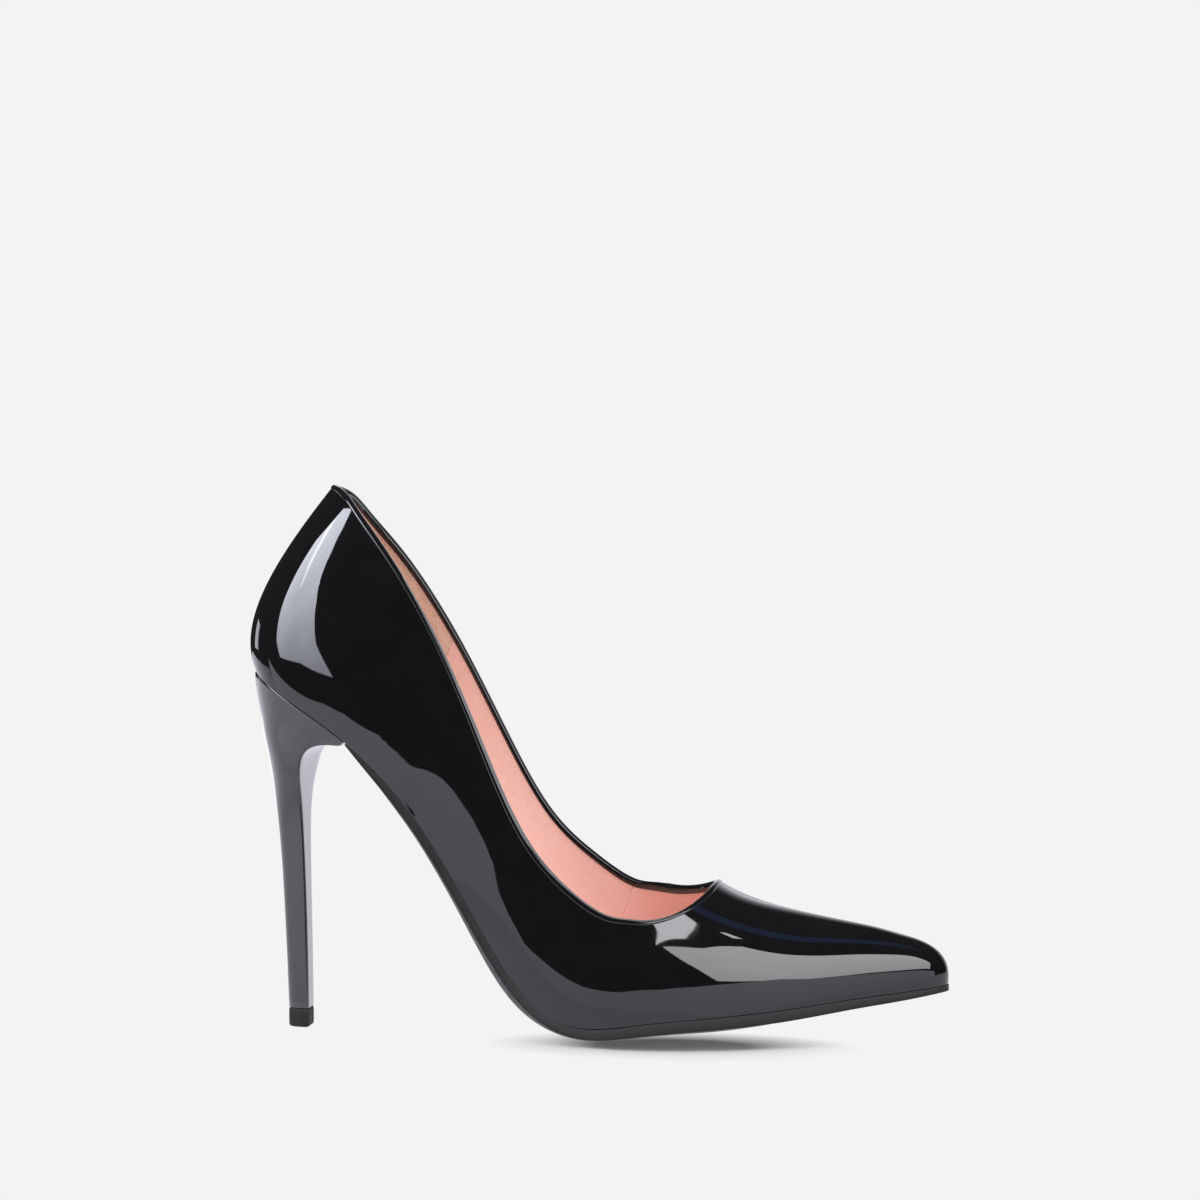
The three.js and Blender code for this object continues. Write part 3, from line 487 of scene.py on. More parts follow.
def loft(name, rings, sharp=0.7, joined=False):
    """A closed loft through rings of points: its ends are joined, or get a fan each."""
    rings = np.asarray(rings)
    if joined:
        rings = np.concatenate([rings, rings[:1]])
    count, around = rings.shape[:2]
    points = list(rings.reshape(-1, 3))
    faces = [(i * around + j, i * around + (j + 1) % around,
              (i + 1) * around + (j + 1) % around, (i + 1) * around + j)
             for i in range(count - 1) for j in range(around)]
    for ring in () if joined else (0, count - 1):
        centre = len(points)
        points.append(rings[ring].mean(axis=0))
        faces += [(ring * around + j, ring * around + (j + 1) % around, centre)
                  for j in range(around)]
    return make_object(name, points, faces, sharp)


def place(piece, slot, material, *nodes):
    """Rides a piece on the shoe, gives it its finish and hides the nodes it stands for."""
    piece.data.materials.append(material)
    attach(piece, "root")
    if nodes:
        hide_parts(*nodes)
    return piece


# ---- Finishes --------------------------------------------------------------------------------

def add_node(tree, kind, inputs=None, **settings):
    """Adds a shader node and returns its outputs. An input is a value or another's output."""
    node = tree.nodes.new("ShaderNode" + kind)
    for setting, value in settings.items():
        setattr(node, setting, value)
    for socket, value in (inputs or {}).items():
        if isinstance(value, bpy.types.NodeSocket):
            tree.links.new(value, node.inputs[socket])
        else:
            node.inputs[socket].default_value = value
    return node.outputs


def map_range(tree, value, low, high, out_low, out_high, **settings):
    """Maps a value's range to another, clamped."""
    inputs = {"Value": value, "From Min": low, "From Max": high, "To Min": out_low,
              "To Max": out_high}
    return add_node(tree, "MapRange", inputs, **settings)["Result"]


class Finish:
    """A procedural finish on one Principled shader, patterned in the shoe's own space."""

    def __init__(self, name, **constants):
        self.material = bpy.data.materials.new(name)
        self.material.use_nodes = True
        self.tree = self.material.node_tree
        self.shader = self.tree.nodes["Principled BSDF"]
        for socket, value in constants.items():
            self.shader.inputs[socket.replace("_", " ")].default_value = value
        self.place = self.node("TexCoord")["Object"]

    def node(self, kind, inputs=None, **settings):
        return add_node(self.tree, kind, inputs, **settings)

    def noise(self, size, detail=2.0, stretch=(1, 1, 1), warp=0.0):
        """Noise from 0 to 1 whose lumps are about size metres across."""
        scale = [1 / (size * along) for along in stretch]
        scaled = self.node("Mapping", {"Vector": self.place, "Scale": scale})["Vector"]
        return self.node("TexNoise", {"Vector": scaled, "Scale": 1, "Detail": detail,
                                      "Distortion": warp})[0]

    def cells(self, size, feature="F1"):
        """Distances inside a cell pattern with cells of about size metres."""
        return self.node("TexVoronoi", {"Vector": self.place, "Scale": 1 / size},
                         feature=feature)["Distance"]

    def stripes(self, size, direction, warp=0.0):
        """Soft stripes across one axis, drawn at size metres."""
        return self.node("TexWave", {"Vector": self.place, "Scale": 1 / (size * 2 * math.pi),
                                     "Distortion": warp}, bands_direction=direction)[1]

    def edges(self):
        """1 on convex edges, where things rub, and 0 on flat stretches."""
        return self.span(self.node("NewGeometry")["Pointiness"], 0.52, 0.6, 0, 1)

    def span(self, value, low, high, out_low, out_high):
        return map_range(self.tree, value, low, high, out_low, out_high)

    def sum(self, first, second, weight=1.0):
        return self.node("Math", {0: second, 1: weight, 2: first}, operation="MULTIPLY_ADD")[0]

    def blend(self, factor, low, high):
        """A colour between two: each is a tuple or an earlier blend."""
        low, high = ((*colour, 1) if isinstance(colour, tuple) else colour
                     for colour in (low, high))
        return self.node("Mix", {"Factor": factor, 6: low, 7: high}, data_type="RGBA")[2]

    def bump(self, height, depth, under=None):
        """A normal bumped by a height of 0 to 1, depth metres deep."""
        inputs = {"Height": height, "Distance": depth}
        if under:
            inputs["Normal"] = under
        return self.node("Bump", inputs)["Normal"]

    def wear(self, colour=None, roughness=None, normal=None, **others):
        """Connects what was made to the shader and returns the material."""
        made = {"Base Color": colour, "Roughness": roughness, "Normal": normal}
        made.update((socket.replace("_", " "), output) for socket, output in others.items())
        for socket, output in made.items():
            if output:
                self.tree.links.new(output, self.shader.inputs[socket])
        return self.material


def patent_leather(name):
    """Black lacquer: a mirror coat with a slow ripple and a trace of peel, rubbed at edges."""
    finish = Finish(name, IOR=1.5, Coat_Weight=0.35, Coat_Roughness=0.01)
    shade = finish.blend(finish.noise(0.009), (0.0035, 0.0035, 0.004), (0.006, 0.006, 0.007))
    rubbed = finish.blend(finish.edges(), shade, (0.012, 0.012, 0.013))
    smears = finish.span(finish.noise(0.02, 4, warp=0.8), 0.45, 0.75, 0.02, 0.055)
    ripple = finish.bump(finish.noise(0.014, 1), 0.00003)
    peel = finish.bump(finish.noise(0.0016, 2), 0.0000012, ripple)
    return finish.wear(rubbed, smears, peel, Coat_Normal=ripple)


def lining_leather():
    """Salmon smooth leather: fine pores, faint mottling, paler where rubbed."""
    finish = Finish("lining_leather", IOR=1.45, Sheen_Weight=0.08, Sheen_Roughness=0.4)
    mottle = finish.blend(finish.noise(0.012, 4), (0.77, 0.465, 0.4), (0.82, 0.51, 0.45))
    creased = finish.blend(finish.span(finish.cells(0.0016), 0, 0.6, 0.14, 0),
                           mottle, (0.55, 0.27, 0.22))
    rubbed = finish.blend(finish.span(finish.edges(), 0, 1, 0, 0.5), creased, (0.85, 0.6, 0.54))
    roughness = finish.span(finish.noise(0.006, 3), 0.3, 0.7, 0.4, 0.56)
    pores = finish.sum(finish.cells(0.0011), finish.noise(0.0006, 3), 0.6)
    return finish.wear(rubbed, roughness, finish.bump(pores, 0.000035))


def suede():
    """Tan suede: a short nap brushed in patches, with no shine."""
    finish = Finish("suede", Sheen_Weight=0.45, Sheen_Roughness=0.55, Specular_IOR_Level=0.15)
    brushed = finish.noise(0.007, 5, (1, 1, 2.5), 1.2)
    nap = finish.noise(0.0005, 3, (1, 1, 3))
    patches = finish.blend(finish.span(brushed, 0.35, 0.65, 0, 1),
                           (0.56, 0.34, 0.25), (0.67, 0.43, 0.33))
    fibres = finish.blend(finish.span(nap, 0.3, 0.7, 0, 0.4), patches, (0.78, 0.55, 0.45))
    roughness = finish.span(brushed, 0.3, 0.7, 0.85, 0.97)
    relief = finish.bump(finish.sum(nap, finish.noise(0.0012, 4), 0.8), 0.00012)
    return finish.wear(fibres, roughness, relief)


def sole_rubber(name, gloss):
    """Black rubber: a fine moulded grain, dusty in patches, greyer along its edges."""
    finish = Finish(name, IOR=1.5, Specular_IOR_Level=0.2)
    dusty = finish.blend(finish.noise(0.011, 5), (0.009, 0.009, 0.01), (0.016, 0.016, 0.017))
    rubbed = finish.blend(finish.edges(), dusty, (0.045, 0.045, 0.048))
    roughness = finish.span(finish.noise(0.003, 4), 0.3, 0.7, gloss, gloss + 0.16)
    grain = finish.sum(finish.cells(0.0005), finish.noise(0.0011, 3), 0.7)
    return finish.wear(rubbed, roughness, finish.bump(grain, 0.00003))


def heel_wrap():
    """The heel's wrap: black lacquered leather stretched tight, satin and faintly streaked."""
    finish = Finish("heel_wrap", IOR=1.5, Coat_Weight=0.9, Coat_Roughness=0.12)
    shade = finish.blend(finish.noise(0.008, 3), (0.008, 0.008, 0.0085), (0.014, 0.014, 0.015))
    rubbed = finish.blend(finish.edges(), shade, (0.03, 0.03, 0.032))
    streaks = finish.span(finish.noise(0.002, 3, (1, 1, 9)), 0.3, 0.7, 0.2, 0.27)
    ripple = finish.bump(finish.noise(0.006, 2, (1, 1, 3)), 0.000012)
    return finish.wear(rubbed, streaks, ripple)


def steel():
    """Satin spring steel with fine rolling lines and a trace of tarnish."""
    finish = Finish("steel", Metallic=1.0)
    lines = finish.noise(0.0004, 3, (30, 1, 1))
    tarnish = finish.blend(finish.span(finish.noise(0.005, 4), 0.55, 0.8, 0, 1),
                           (0.55, 0.56, 0.58), (0.33, 0.31, 0.29))
    roughness = finish.span(lines, 0.3, 0.7, 0.28, 0.45)
    return finish.wear(tarnish, roughness, finish.bump(lines, 0.000008))


def board():
    """Pressed fibreboard: short fibres in two tones, matt."""
    finish = Finish("fibreboard")
    fibres = finish.noise(0.0007, 4, (4, 1, 1), 0.8)
    shade = finish.blend(finish.span(fibres, 0.35, 0.65, 0, 1),
                         (0.33, 0.225, 0.13), (0.5, 0.37, 0.24))
    roughness = finish.span(fibres, 0.3, 0.7, 0.82, 0.95)
    return finish.wear(shade, roughness, finish.bump(fibres, 0.00006))


def woven(name, thread, gap):
    """A plain weave with threads 0.5 mm apart along X and Y."""
    finish = Finish(name)
    weave = finish.sum(finish.stripes(0.0005, "X", 0.3), finish.stripes(0.0005, "Y", 0.3))
    uneven = finish.sum(weave, finish.noise(0.004, 3), 0.6)
    shade = finish.blend(finish.span(uneven, 0.6, 2, 0, 1), gap, thread)
    roughness = finish.span(uneven, 0.6, 2, 0.95, 0.8)
    return finish.wear(shade, roughness, finish.bump(weave, 0.00005))


def cork():
    """Granulated cork: packed crumbs of several browns."""
    finish = Finish("cork")
    crumbs = finish.cells(0.0018, "SMOOTH_F1")
    tones = finish.blend(finish.noise(0.0025, 3), (0.3, 0.18, 0.09), (0.56, 0.38, 0.22))
    shade = finish.blend(finish.span(crumbs, 0.3, 0.7, 0, 0.8), tones, (0.16, 0.09, 0.05))
    roughness = finish.span(crumbs, 0.2, 0.8, 0.85, 0.97)
    return finish.wear(shade, roughness, finish.bump(crumbs, -0.0001))


def foam():
    """Latex foam: open cells, cream, yellower in patches."""
    finish = Finish("foam")
    cells = finish.cells(0.0007)
    tones = finish.blend(finish.noise(0.008, 3), (0.8, 0.74, 0.58), (0.86, 0.82, 0.7))
    shade = finish.blend(finish.span(cells, 0, 0.3, 0.5, 0), tones, (0.5, 0.44, 0.32))
    roughness = finish.span(cells, 0, 0.6, 0.97, 0.85)
    return finish.wear(shade, roughness, finish.bump(cells, 0.00008))


def moulded(name, dark, light):
    """Moulded plastic: even and satin, with faint flow marks."""
    finish = Finish(name)
    flow = finish.noise(0.01, 3, (1, 1, 3), 0.6)
    shade = finish.blend(flow, dark, light)
    roughness = finish.span(flow, 0.3, 0.7, 0.38, 0.52)
    return finish.wear(shade, roughness, finish.bump(finish.noise(0.0008), 0.00001))


PATENT = patent_leather("patent_leather")
BINDING_PATENT = patent_leather("binding_patent")
LEATHER = lining_leather()
SUEDE = suede()
RUBBER = sole_rubber("outsole_rubber", 0.42)
TIP_RUBBER = sole_rubber("top_piece_rubber", 0.55)
WRAP = heel_wrap()
STEEL = steel()
BOARD = board()
CLOTH = woven("interlining_cloth", (0.8, 0.77, 0.69), (0.5, 0.46, 0.38))
PUFF = moulded("toe_puff_plastic", (0.55, 0.48, 0.36), (0.66, 0.59, 0.46))
CORK = cork()
FOAM = foam()
PLASTIC = moulded("heel_plastic", (0.7, 0.69, 0.65), (0.78, 0.77, 0.73))


# ---- Upper, binding and linings --------------------------------------------------------------

UPPER_TOP = 1.2  # where each layer starts, below the topline
LINING_TOP = 1.6
STIFFENER_TOP = 3.2
SEAM_DEPTH = 0.28
BINDING_STRIP = 2.5  # depth of the strip of wall that the binding is wrapped on
BINDING_STEP = 0.5
# The binding's section: how far outside the upper's face, and how far below the topline.
BINDING_SECTION = [
    (-0.35, 1.55), (0, 1.5), (0.22, 1.3), (0.32, 0.95), (0.32, 0.5), (0.2, 0.05), (-0.1, -0.3),
    (-0.6, -0.5), (-1.2, -0.58), (-1.8, -0.5), (-2.35, -0.28), (-2.7, 0.1), (-2.82, 0.6),
    (-2.85, 1.1), (-2.84, 1.5), (-2.78, 1.8), (-2.65, 1.95), (-2.52, 1.95), (-2.52, 1.55),
    (-2, 1.5), (-1.2, 1.5)]


def upper():
    wall = Wall(first=UPPER_TOP)
    piece = slab("upper", wall.face(UPPER[0]), wall.face(UPPER[1]), closed=True)
    return place(piece, "patent_upper", PATENT, "upper_shell")


def binding():
    depths = np.arange(0, BINDING_STRIP + 0.1, BINDING_STEP)
    strip = rows_at(np.tile(depths, (RING, 1)))
    out = surface_normals(strip)
    above = unit(strip[:, 0] - strip[:, 1])
    rings = []
    for outward, down in BINDING_SECTION:
        row = max(down, 0) / BINDING_STEP
        near = int(row)
        centre = lerp(strip[:, near], strip[:, near + 1], row - near)
        normal = lerp(out[:, near], out[:, near + 1], row - near)
        rings.append(centre + unit(normal) * outward + above * max(-down, 0))
    piece = loft("binding", np.stack(rings, axis=1), sharp=1.4, joined=True)
    return place(piece, "patent_binding", BINDING_PATENT, "topline_binding")


def lining(name, columns, slot, material, node, thickness=LINING):
    """A lining, thinner in its first and last columns, where the seams are."""
    wall = Wall(first=LINING_TOP, wall_rows=50)
    down = wall.down[np.mod(columns, RING)]
    down = np.pad(down, ((0, 0), (0, wall.grid.shape[1] - down.shape[1])), mode="edge")
    back = np.full_like(down, thickness[0])
    front = lerp(LINING[1], thickness[1], smoothstep(3.4, 6, down))
    front[[0, -1]] -= SEAM_DEPTH
    piece = slab(name, wall.face(front, columns), wall.face(back, columns))
    return place(piece, slot, material, node)


def linings():
    smooth = ("smooth_lining", LEATHER)
    quarter = np.arange(GRIP_COLUMN, VAMP_COLUMN + 1)
    lining("grip", np.arange(-GRIP_COLUMN, GRIP_COLUMN + 1), "suede_grip", SUEDE, "heel_grip", GRIP)
    lining("quarter_lining_outside", quarter, *smooth, "quarter_lining_outer")
    lining("quarter_lining_inside", RING - quarter[::-1], *smooth, "quarter_lining_inner")
    lining("front_lining", np.arange(VAMP_COLUMN, RING - VAMP_COLUMN + 1), *smooth, "vamp_lining")


def stiffener(name, columns, rows, slot, material, node):
    """A hidden layer between the upper and its lining, thinner towards its edges."""
    wall = Wall(first=STIFFENER_TOP, wall_rows=30, margin_rows=3)
    count = wall.grid.shape[1]
    places = np.arange(count)[rows]
    across = np.minimum(np.arange(len(columns)), np.arange(len(columns))[::-1])[:, None]
    along = np.minimum(places - places[0], 4)[None]
    thin = 1 - 0.35 * (1 - np.minimum(np.minimum(across / 4, along / 3), 1))
    inner = lerp(STIFFENER[0], STIFFENER[1], thin)
    outer = np.full_like(inner, STIFFENER[0])
    piece = slab(name, wall.face(inner, columns, rows), wall.face(outer, columns, rows))
    return place(piece, slot, material, node)


COUNTER_END = 4.8  # station
PUFF_COLUMNS = 34  # from the ridge to the puff's end on each side
PUFF_ROW = 16  # first row of the puff; the vamp's backing ends just above it


def stiffeners():
    counter = int(np.searchsorted([station for station, fan in HALF], COUNTER_END))
    puff = TIP - PUFF_COLUMNS
    stiffener("counter", np.arange(-counter, counter + 1, 2), slice(2, None),
              "fibreboard", BOARD, "heel_counter")
    stiffener("vamp_backing", np.arange(VAMP_COLUMN, RING - VAMP_COLUMN + 1, 2),
              slice(0, PUFF_ROW - 1), "interlining", CLOTH, "vamp_interlining")
    stiffener("puff", np.arange(puff, RING - puff + 1, 2), slice(PUFF_ROW, None),
              "toe_puff", PUFF, "toe_puff")


# ---- Sock lining and pads --------------------------------------------------------------------

CUSHION_RISE = 1.4
CUSHION_EDGE = 0.4
SOCK_LIFT = 0.35
SOCK = 0.7
SOCK_ROLL = [0, 0.054, 0.18, 0.45]  # places of the rolled edge's points, from the edge in
SOCK_ROLL_DROP = [0.42, 0.2, 0.07]


def dome(pad, x, y):
    start, end, half = pad
    along = (2 * x - start - end) / (end - start)
    across = (y - drift(x)) / half
    share = np.maximum(1 - along ** 2 - across ** 2, 0)
    return CUSHION_RISE * np.sqrt(share) * share


def pad_rise(x, y):
    return dome(BALL, x, y) + dome(SEAT, x, y)


def wall_at_level(level, depth):
    """Plan points of the lining's face at a level above the feather line, for each column."""
    down = PATH_LENGTHS[:, -1:] - level + np.array([[-1.0, 0, 1.0]])
    strip = rows_at(down)
    face = strip[:, 1] - surface_normals(strip)[:, 1] * depth
    base = face[:, 0].copy()
    for _ in range(12):
        base = face[:, 0] - bottom_normal(base)[:, 0] * level
    return np.stack([base, face[:, 1]], axis=-1)


def sock():
    level = CUSHION_LEVEL + CUSHION_EDGE + SOCK_LIFT + SOCK
    edge = wall_at_level(level, LINING[1] - 0.05)
    left = edge[:TIP + 1]
    right = edge[np.mod(RING - np.arange(TIP + 1), RING)]
    width = np.linalg.norm(right - left, axis=-1)[:, None]
    start = np.minimum(1, width) * [SOCK_ROLL]
    shares = start / np.maximum(width, 1e-6)
    middle = lerp(shares[:, -1:], 1 - shares[:, -1:], np.linspace(0, 1, 41)[None, 1:-1])
    shares = np.concatenate([shares, middle, 1 - shares[:, ::-1]], axis=1)[..., None]
    plan = lerp(left[:, None], right[:, None], shares)
    drop = np.zeros(plan.shape[1])
    drop[:3] = SOCK_ROLL_DROP
    drop[-3:] = SOCK_ROLL_DROP[::-1]
    rise = pad_rise(plan[..., 0], plan[..., 1])
    top = bottom_point(plan[..., 0], plan[..., 1], level + rise - drop)
    under = bottom_point(plan[..., 0], plan[..., 1], level - SOCK + rise)
    piece = slab("sock", top, under)
    return place(piece, "smooth_lining", LEATHER, "sock_lining")


def cushion(name, pad, node):
    """A foam pad: domed on top, flat below, with a soft rounded edge."""
    start, end, half = pad
    rings = []
    turns = np.linspace(0, 2 * math.pi, 96, endpoint=False)
    middle = (start + end) / 2
    sections = [(share, 0) for share in np.linspace(0.02, 0.97, 16)]
    sections += [(0.985, 0.1), (0.996, 0.3), (1, 0.5), (0.996, 0.75), (0.985, 1)]
    sections += [(share, 1) for share in np.linspace(0.93, 0.02, 8)]
    for share, lower in sections:
        x = middle + (end - start) / 2 * share * np.cos(turns)
        y = drift(x) + half * share * np.sin(turns)
        top = CUSHION_EDGE + dome(pad, x, y)
        rings.append(bottom_point(x, y, CUSHION_LEVEL + top * (1 - lower)))
    piece = loft(name, rings, sharp=1.2)
    place(piece, "foam", FOAM, node)
    return piece


# ---- Outsole ---------------------------------------------------------------------------------

OUTSOLE_START = 33.2
OUTSOLE_INSET = {"waist": 1.2, "forepart": -0.4, "toe": -0.2}
OUTSOLE_CORNER = 0.75
OUTSOLE_TOP = -0.2  # level of its upper face against the lasted margin
OUTSOLE_BASE = -0.7  # level that its thickness is measured from


def outsole():
    """The rubber sole: rounded at its lower corner and worn flat where it stands."""
    first = np.interp(OUTSOLE_START, EDGE[OUTER][:, 0], EDGE_KNOTS)
    knots = KNOTS[TOE] - (KNOTS[TOE] - first) * np.linspace(1, 0, 200) ** 1.3
    x = LAST[OUTER](knots, 0 * knots)[:, 0]
    inset = lerp(OUTSOLE_INSET["waist"], OUTSOLE_INSET["forepart"], smoothstep(90, 135, x))
    inset += (OUTSOLE_INSET["toe"] - OUTSOLE_INSET["forepart"]) * smoothstep(205, 229, x)
    left = outline(OUTER, knots, inset)
    right = outline(INNER, knots, inset)
    width = np.linalg.norm(right - left, axis=-1)[:, None]
    corner = np.minimum(OUTSOLE_CORNER, 0.42 * width)
    angles = np.linspace(0, math.pi / 2, 7)[None]
    start = corner * (1 - np.cos(angles)) / np.maximum(width, 1e-6)
    middle = lerp(start[:, -1:], 1 - start[:, -1:], np.linspace(0, 1, 37)[None, 1:-1])
    shares = np.concatenate([start, middle, 1 - start[:, ::-1]], axis=1)[..., None]
    lift = np.zeros(shares.shape[:2])
    lift[:, :7] = corner * (1 - np.sin(angles))
    lift[:, -7:] = lift[:, 6::-1]
    plan = lerp(left[:, None], right[:, None], shares)
    px, py = plan[..., 0], plan[..., 1]
    low = bottom_point(px, py, OUTSOLE_BASE - outsole_thickness(px) + lift)
    low[..., 2] = np.maximum(low[..., 2], 0)
    high = bottom_point(px, py, OUTSOLE_TOP)
    piece = slab("sole", low, high)
    return place(piece, "outsole_rubber", RUBBER, "outsole")


# ---- Heel ------------------------------------------------------------------------------------

HEEL_SEAT = {"back": -1.6, "breast": 32.4, "half": 23.6}
STEM_ROUNDNESS = 0.9
SEAT_ROUNDNESS = 0.7
COVER = 0.55
BREAST_CORNER = 0.7
TOP_PIECE_HEIGHT = 6.2


def heel_outline(back, breast, half, roundness, corner):
    """A D in plan: a round back, a flat breast and small rounded corners between them."""
    reach = breast - back
    last = math.acos((corner / reach) ** (1 / roundness))
    angles = np.linspace(-last, last, 41)
    x = breast - reach * np.cos(angles) ** roundness
    y = half * np.sin(angles)
    edge = y[-1]
    turn = np.linspace(0, math.pi / 2, 6)[1:]
    corner_x = breast - corner * (1 - np.sin(turn))
    corner_y = edge - corner * (1 - np.cos(turn))
    flat = np.linspace(1, -1, 9)[1:-1] * (edge - corner)
    x = np.concatenate([x, corner_x, np.full(7, breast), corner_x[::-1]])
    y = np.concatenate([y, corner_y, flat, -corner_y[::-1]])
    return x, y


def heel_ring(row, roundness, inset=0.0):
    back_x, back_z, breast_x, breast_z, half = row
    x, y = heel_outline(back_x + inset, breast_x - inset, half - inset, roundness, BREAST_CORNER)
    share = (x - back_x) / (breast_x - back_x)
    return np.stack([x, y, lerp(back_z, breast_z, share)], axis=-1)


def seat_ring(inset, level):
    back, breast, half = (HEEL_SEAT[key] for key in ("back", "breast", "half"))
    x, y = heel_outline(back + inset, breast - inset, half - inset, SEAT_ROUNDNESS, BREAST_CORNER)
    return bottom_point(x, y, level)


def heel_surface(inset, steps=90):
    """Rings from the heel's foot to its seat, splined through the profile's rows."""
    last = len(HEEL) - 1
    rings = [heel_ring(row, lerp(STEM_ROUNDNESS, SEAT_ROUNDNESS, k / last), inset)
             for k, row in enumerate(HEEL)]
    rings.append(seat_ring(inset, -0.6))
    rings = np.array(rings)
    places = np.linspace(0, last + 1, steps)
    count = rings.shape[1]
    return np.stack([np.stack([spline(range(last + 2), rings[:, j, axis])(places)
                               for j in range(count)], axis=-1) for axis in range(3)], axis=-1)


def heel_cover():
    outer = heel_surface(0)
    lip = [seat_ring(0.03, -0.35), seat_ring(0.14, -0.15), seat_ring(0.4, -0.04)]
    inner = heel_surface(COVER)[::-1]
    rings = np.concatenate([outer, lip, inner])
    piece = loft("heel_wrap", rings, sharp=1.0, joined=True)
    return place(piece, "heel_wrap", WRAP, "heel_cover")


def top_piece():
    """The rubber heel tip, with a worn round at its foot and a fine step under the heel."""
    sections = [(0.9, 0), (0.45, 0.06), (0.15, 0.3), (0.03, 0.7), (0, 1.2), (-0.02, 3.5),
                (0, 5.6), (0.12, 5.95), (0.35, TOP_PIECE_HEIGHT)]
    back, _, breast, _, half = HEEL[0]
    rings = []
    for inset, height in sections:
        x, y = heel_outline(back + inset, breast - inset, half - inset, STEM_ROUNDNESS, 0.5)
        rings.append(np.stack([x, y, np.full_like(x, height)], axis=-1))
    piece = loft("heel_tip", rings, sharp=0.9)
    return place(piece, "top_piece_rubber", TIP_RUBBER, "top_piece")


# ---- The CAD nodes that stay -----------------------------------------------------------------

KEPT = {
    "insole_board": BOARD, "shank_board": BOARD, "steel_shank": STEEL, "shank_rivet_rear": STEEL,
    "shank_rivet_front": STEEL, "bottom_filler": CORK, "heel_core": PLASTIC, "heel_tube": STEEL,
    "top_piece_dowel": STEEL, "heel_screw": STEEL,
}


def finish_kept_nodes():
    nails = {name: STEEL for name in frame["nodes"] if name.startswith("heel_nail")}
    for name, material in {**KEPT, **nails}.items():
        for material_slot in frame["nodes"][name].material_slots:
            material_slot.material = material


upper()
binding()
linings()
stiffeners()
sock()
cushion("ball_pad", BALL, "ball_cushion")
cushion("heel_pad", SEAT, "heel_cushion")
outsole()
heel_cover()
top_piece()
finish_kept_nodes()


# ---- Studio ----------------------------------------------------------------------------------

CAMERA_AT = (294.92, -1287.35, 207.5)
CAMERA_LOOKS_AT = (114, 0, 143.5)
CAMERA_LENS = 118.33
PALE = 0.896  # the background's shade
GLOSS_BASE = 0.02  # what the gloss sees of the dark part of the studio
FLOOR_AT = (141, -24, -0.2)
FLOOR_REACH = 0.6
FLOOR_TONE = (0.385, 0.385, 0.39)
FLOOR_FADE = (0.025, 0.062)  # distances over which the floor melts away

# Cards that show only in the gloss of the shoe. A corner is a direction from the card's origin:
# its azimuth, from 0 away from the camera through 90 towards the toe, and its elevation.
# Where a foot is given, the glow fades from the card's top to that share of it at its foot.
CARDS = {
    "counter_box": {"origin": (20, -20, 140), "distance": 500, "glow": 11.5, "foot": 0.22,
                    "tint": (0.87, 0.89, 1), "outline": [
                        (-97, 37), (-105, 22), (-114, 5), (-122, -2), (-144, -3), (-161, -7),
                        (-153, 3), (-146, 17), (-140, 25), (-135, 32), (-127, 39), (-119, 43),
                        (-105, 43)]},
    "counter_tube": {"origin": (20, -20, 140), "distance": 480, "glow": 16, "foot": 0.4,
                     "tint": (0.95, 0.96, 1), "outline": [
                         (-103, 40), (-119, 28), (-131, 14), (-135, 3), (-137, 3), (-133, 15),
                         (-121, 30), (-105, 42)]},
    "back_strip": {"origin": (20, -20, 140), "distance": 500, "glow": 2,
                   "tint": (0.9, 0.93, 1), "outline": [
                       (-64, -4), (-53, -4), (-53, 6), (-64, 6)]},
    "heel_card": {"origin": (15, 0, 50), "distance": 100, "glow": 1.6,
                  "tint": (0.95, 0.95, 1), "outline": [
                      (-14, -26), (-45, -26), (-45, 26), (-14, 26)]},
    "vamp_box": {"origin": (175, -22, 27), "distance": 350, "glow": 5.6, "foot": 0.7,
                 "tint": (0.98, 0.98, 1), "outline": [
                     (166, 36), (156, 15), (141, 18.5), (134, 16), (109, 11), (103, 24),
                     (121, 47), (132, 53), (150, 44)]},
    "spark": {"origin": (156, -22, 39), "distance": 350, "glow": 7,
              "tint": (0.95, 0.97, 1), "outline": [(117, 57), (122, 56), (121, 58.5), (117, 59)]},
    "throat_box": {"origin": (142, -29, 40), "distance": 350, "glow": 8,
                   "tint": (0.95, 0.97, 1), "outline": [
                       (163, 33), (152, 46), (108, 64), (121, 59.5), (144, 46)]},
    "far_band": {"origin": (150, -20, 41), "distance": 350, "glow": 0.4,
                 "tint": (0.2, 0.35, 1), "outline": [(82, 44), (101, 65), (83, 71), (74, 58)]},
}
# The pale curtain that the gloss sees in front of the shoe, as x and z of its top edge.
CURTAIN_AT = -80
CURTAIN = [(-500, 98), (0, 98), (15, 94), (30, 84), (32, 76), (32, 68), (30, 60), (27, 48), (22, 34),
           (14, 25), (8, 18), (8, 10), (18, 4), (49, 8), (93, 12), (112, 13), (145, 20), (170, 29),
           (220, 48), (500, 50)]
CURTAIN_GLOW = 1.5
CURTAIN_TINT = (0.9, 0.9, 1)
CURTAIN_FOOT = 0.7
SHEET_FROM = (-900, CURTAIN_AT)  # the pale floor that the gloss sees behind the curtain
SHEET_TO = (900, 1200)
SHEET_LEVEL = -1
# A strip above the topline of the outer side, for the light along its rolled edge.
EDGE_STRIP = [(95, -35, 188), (81, 21, 178), (134, 12, 80), (148, -44, 90)]
EDGE_GLOW = 2.5


def at(point):
    return Vector(np.asarray(point) * MM + SHIFT)


def aim(thing, target):
    way = at(target) - thing.location
    thing.rotation_euler = way.to_track_quat("-Z", "Y").to_euler()


